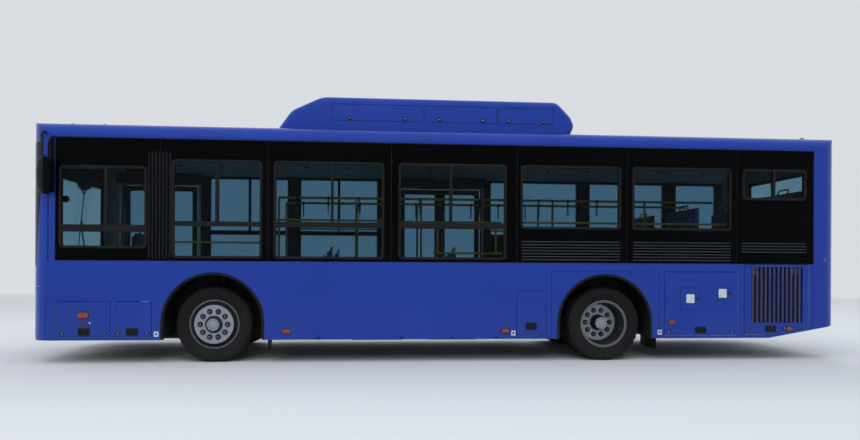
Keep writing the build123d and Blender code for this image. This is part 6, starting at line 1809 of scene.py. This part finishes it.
class Bus:
    """All sub-assemblies of the bus, in the order in which they are built."""

    LEFT_WINDOWS = (
        Window(3.761, 4.783, 1.436, 2.427, (4.217, 4.264), (1.625, 1.714)),
        Window(2.364, 3.445, 1.318, 2.521, (2.884, 2.926), (1.707, 1.766)),
        Window(0.841, 2.199, 1.318, 2.521, (1.467, 1.5), (1.7, 1.77)),
        Window(-0.734, 0.635, 1.318, 2.521, (-0.043, -0.002), (1.7, 1.77)),
        Window(-2.246, -0.94, 1.72, 2.521),
        Window(-3.746, -2.419, 1.72, 2.521),
        Window(-4.787, -3.924, 2.132, 2.521, (-4.366, -4.328)),
    )
    RIGHT_WINDOWS = (
        Window(2.305, 3.545, 1.318, 2.6, (2.9, 2.94), (1.7, 1.77)),
        Window(0.883, 2.131, 1.318, 2.6, (1.49, 1.53), (1.7, 1.77)),
        Window(-2.408, -0.94, 1.72, 2.6),
        Window(-3.88, -2.595, 1.72, 2.6),
        Window(-4.787, -4.071, 1.72, 2.6),
    )
    LEFT_JOINTS = (3.59, 2.28, 0.74, -0.88, -2.335, -3.835)
    RIGHT_JOINTS = (2.218, -2.5, -3.975)
    LEFT_LOUVRES = ((-2.25, -0.94, 7), (-3.75, -2.42, 7), (-4.8, -3.9, 4))
    RIGHT_LOUVRES = ((-2.41, -0.94, 7), (-3.88, -2.6, 7))
    DOORWAYS = ((-0.78, 0.54), (3.72, 4.835))
    PILLAR = (3.45, 3.745)
    FLAPS = (
        Flap("driver_flap", Side.LEFT, (4.429, 4.559, 0.355, 0.435), ((4.748, 0.38), (4.25, 0.38)),
             (4.3, 4.7), 0.769),
        Flap("battery_flap", Side.LEFT, (3.85, 3.985, 0.355, 0.435), ((4.09, 0.378), (3.745, 0.378)),
             (3.8, 4.03), 0.766),
        Flap("middle_flap", Side.LEFT, (-1.139, -1.008, 0.41, 0.495), (), (-1.18, -0.97), 0.906),
        Flap("service_flap", Side.LEFT, (-3.409, -3.269, 0.361, 0.435), ((-2.909, 0.375), (-3.766, 0.375)),
             (-3.65, -3.05), 1.161),
        Flap("radiator_flap", Side.LEFT, (-4.376, -4.238, 0.376, 0.446), ((-3.983, 0.38), (-4.5, 0.42)),
             (-4.65, -4.1), 1.266),
        Flap("right_flap", Side.RIGHT, (-3.91, -3.77, 0.37, 0.445), ((-2.93, 0.385), (-4.6, 0.44)),
             (-4.6, -3.85, -3.1), 1.266),
    )
    SEATS = (
        (1.5, 0.95, 0.34, 0.44), (0.7, 0.95, 0.34, 0.44), (-0.1, 0.95, 0.34, 0.44), (1.5, -0.95, 0.34, 0.44),
        (-3.35, 0.73, 0.95, 0.88), (-3.35, -0.73, 0.95, 0.88), (-4.04, 0.73, 0.95, 0.88),
        (-4.04, -0.73, 0.95, 0.88),
        (-4.84, 0.66, 1.2, 0.88), (-4.84, -0.66, 1.2, 0.88), (3.95, 0.7, 0.56, 0.48),
    )

    def wheels(self) -> list[Wheel]:
        """The two single front wheels and the two pairs of rear wheels."""
        made = []
        for side in Side:
            s = side.value
            for end, tyre, axle, tyres, disc_y, cap_y in (
                ("front", "tyre", FRONT_AXLE, (s * 1.02,), s * 1.17, s * 1.232),
                ("rear", "tyres", REAR_AXLE, (s * 0.76, s * 1.08), s * 0.934, s * 1.09),
            ):
                name = f"{end}_{side.label}"
                made.append(Wheel(f"{name}_wheel", f"{name}_{tyre}", axle, side, tyres, disc_y, cap_y,
                                  end == "rear"))
        return made

    def build(self) -> None:
        """Builds every sub-assembly."""
        for part in (
            WindowBand(Side.LEFT, self.LEFT_WINDOWS, self.LEFT_JOINTS, self.LEFT_LOUVRES, ribs=self.PILLAR),
            WindowBand(Side.RIGHT, self.RIGHT_WINDOWS, self.RIGHT_JOINTS, self.RIGHT_LOUVRES, self.DOORWAYS),
            SideTrim(self.FLAPS), RoofPod(), FrontEnd(), RearEnd(), *self.wheels(), Doors(), Mirrors(),
            Underbody(), Interior(self.SEATS), Studio(),
        ):
            log.info("building %s", type(part).__name__)
            part.build()


def corners() -> dict[str, list[float]]:
    """Lowest and highest corner of what is shown now."""
    low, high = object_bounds()
    return {"low": [round(value, 5) for value in low], "high": [round(value, 5) for value in high]}


def main() -> None:
    """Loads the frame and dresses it."""
    logging.basicConfig(level=logging.INFO, format="%(name)s: %(message)s")
    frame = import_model()
    finish_nodes(frame["nodes"])
    Bus().build()


if __name__ == "__main__":
    main()
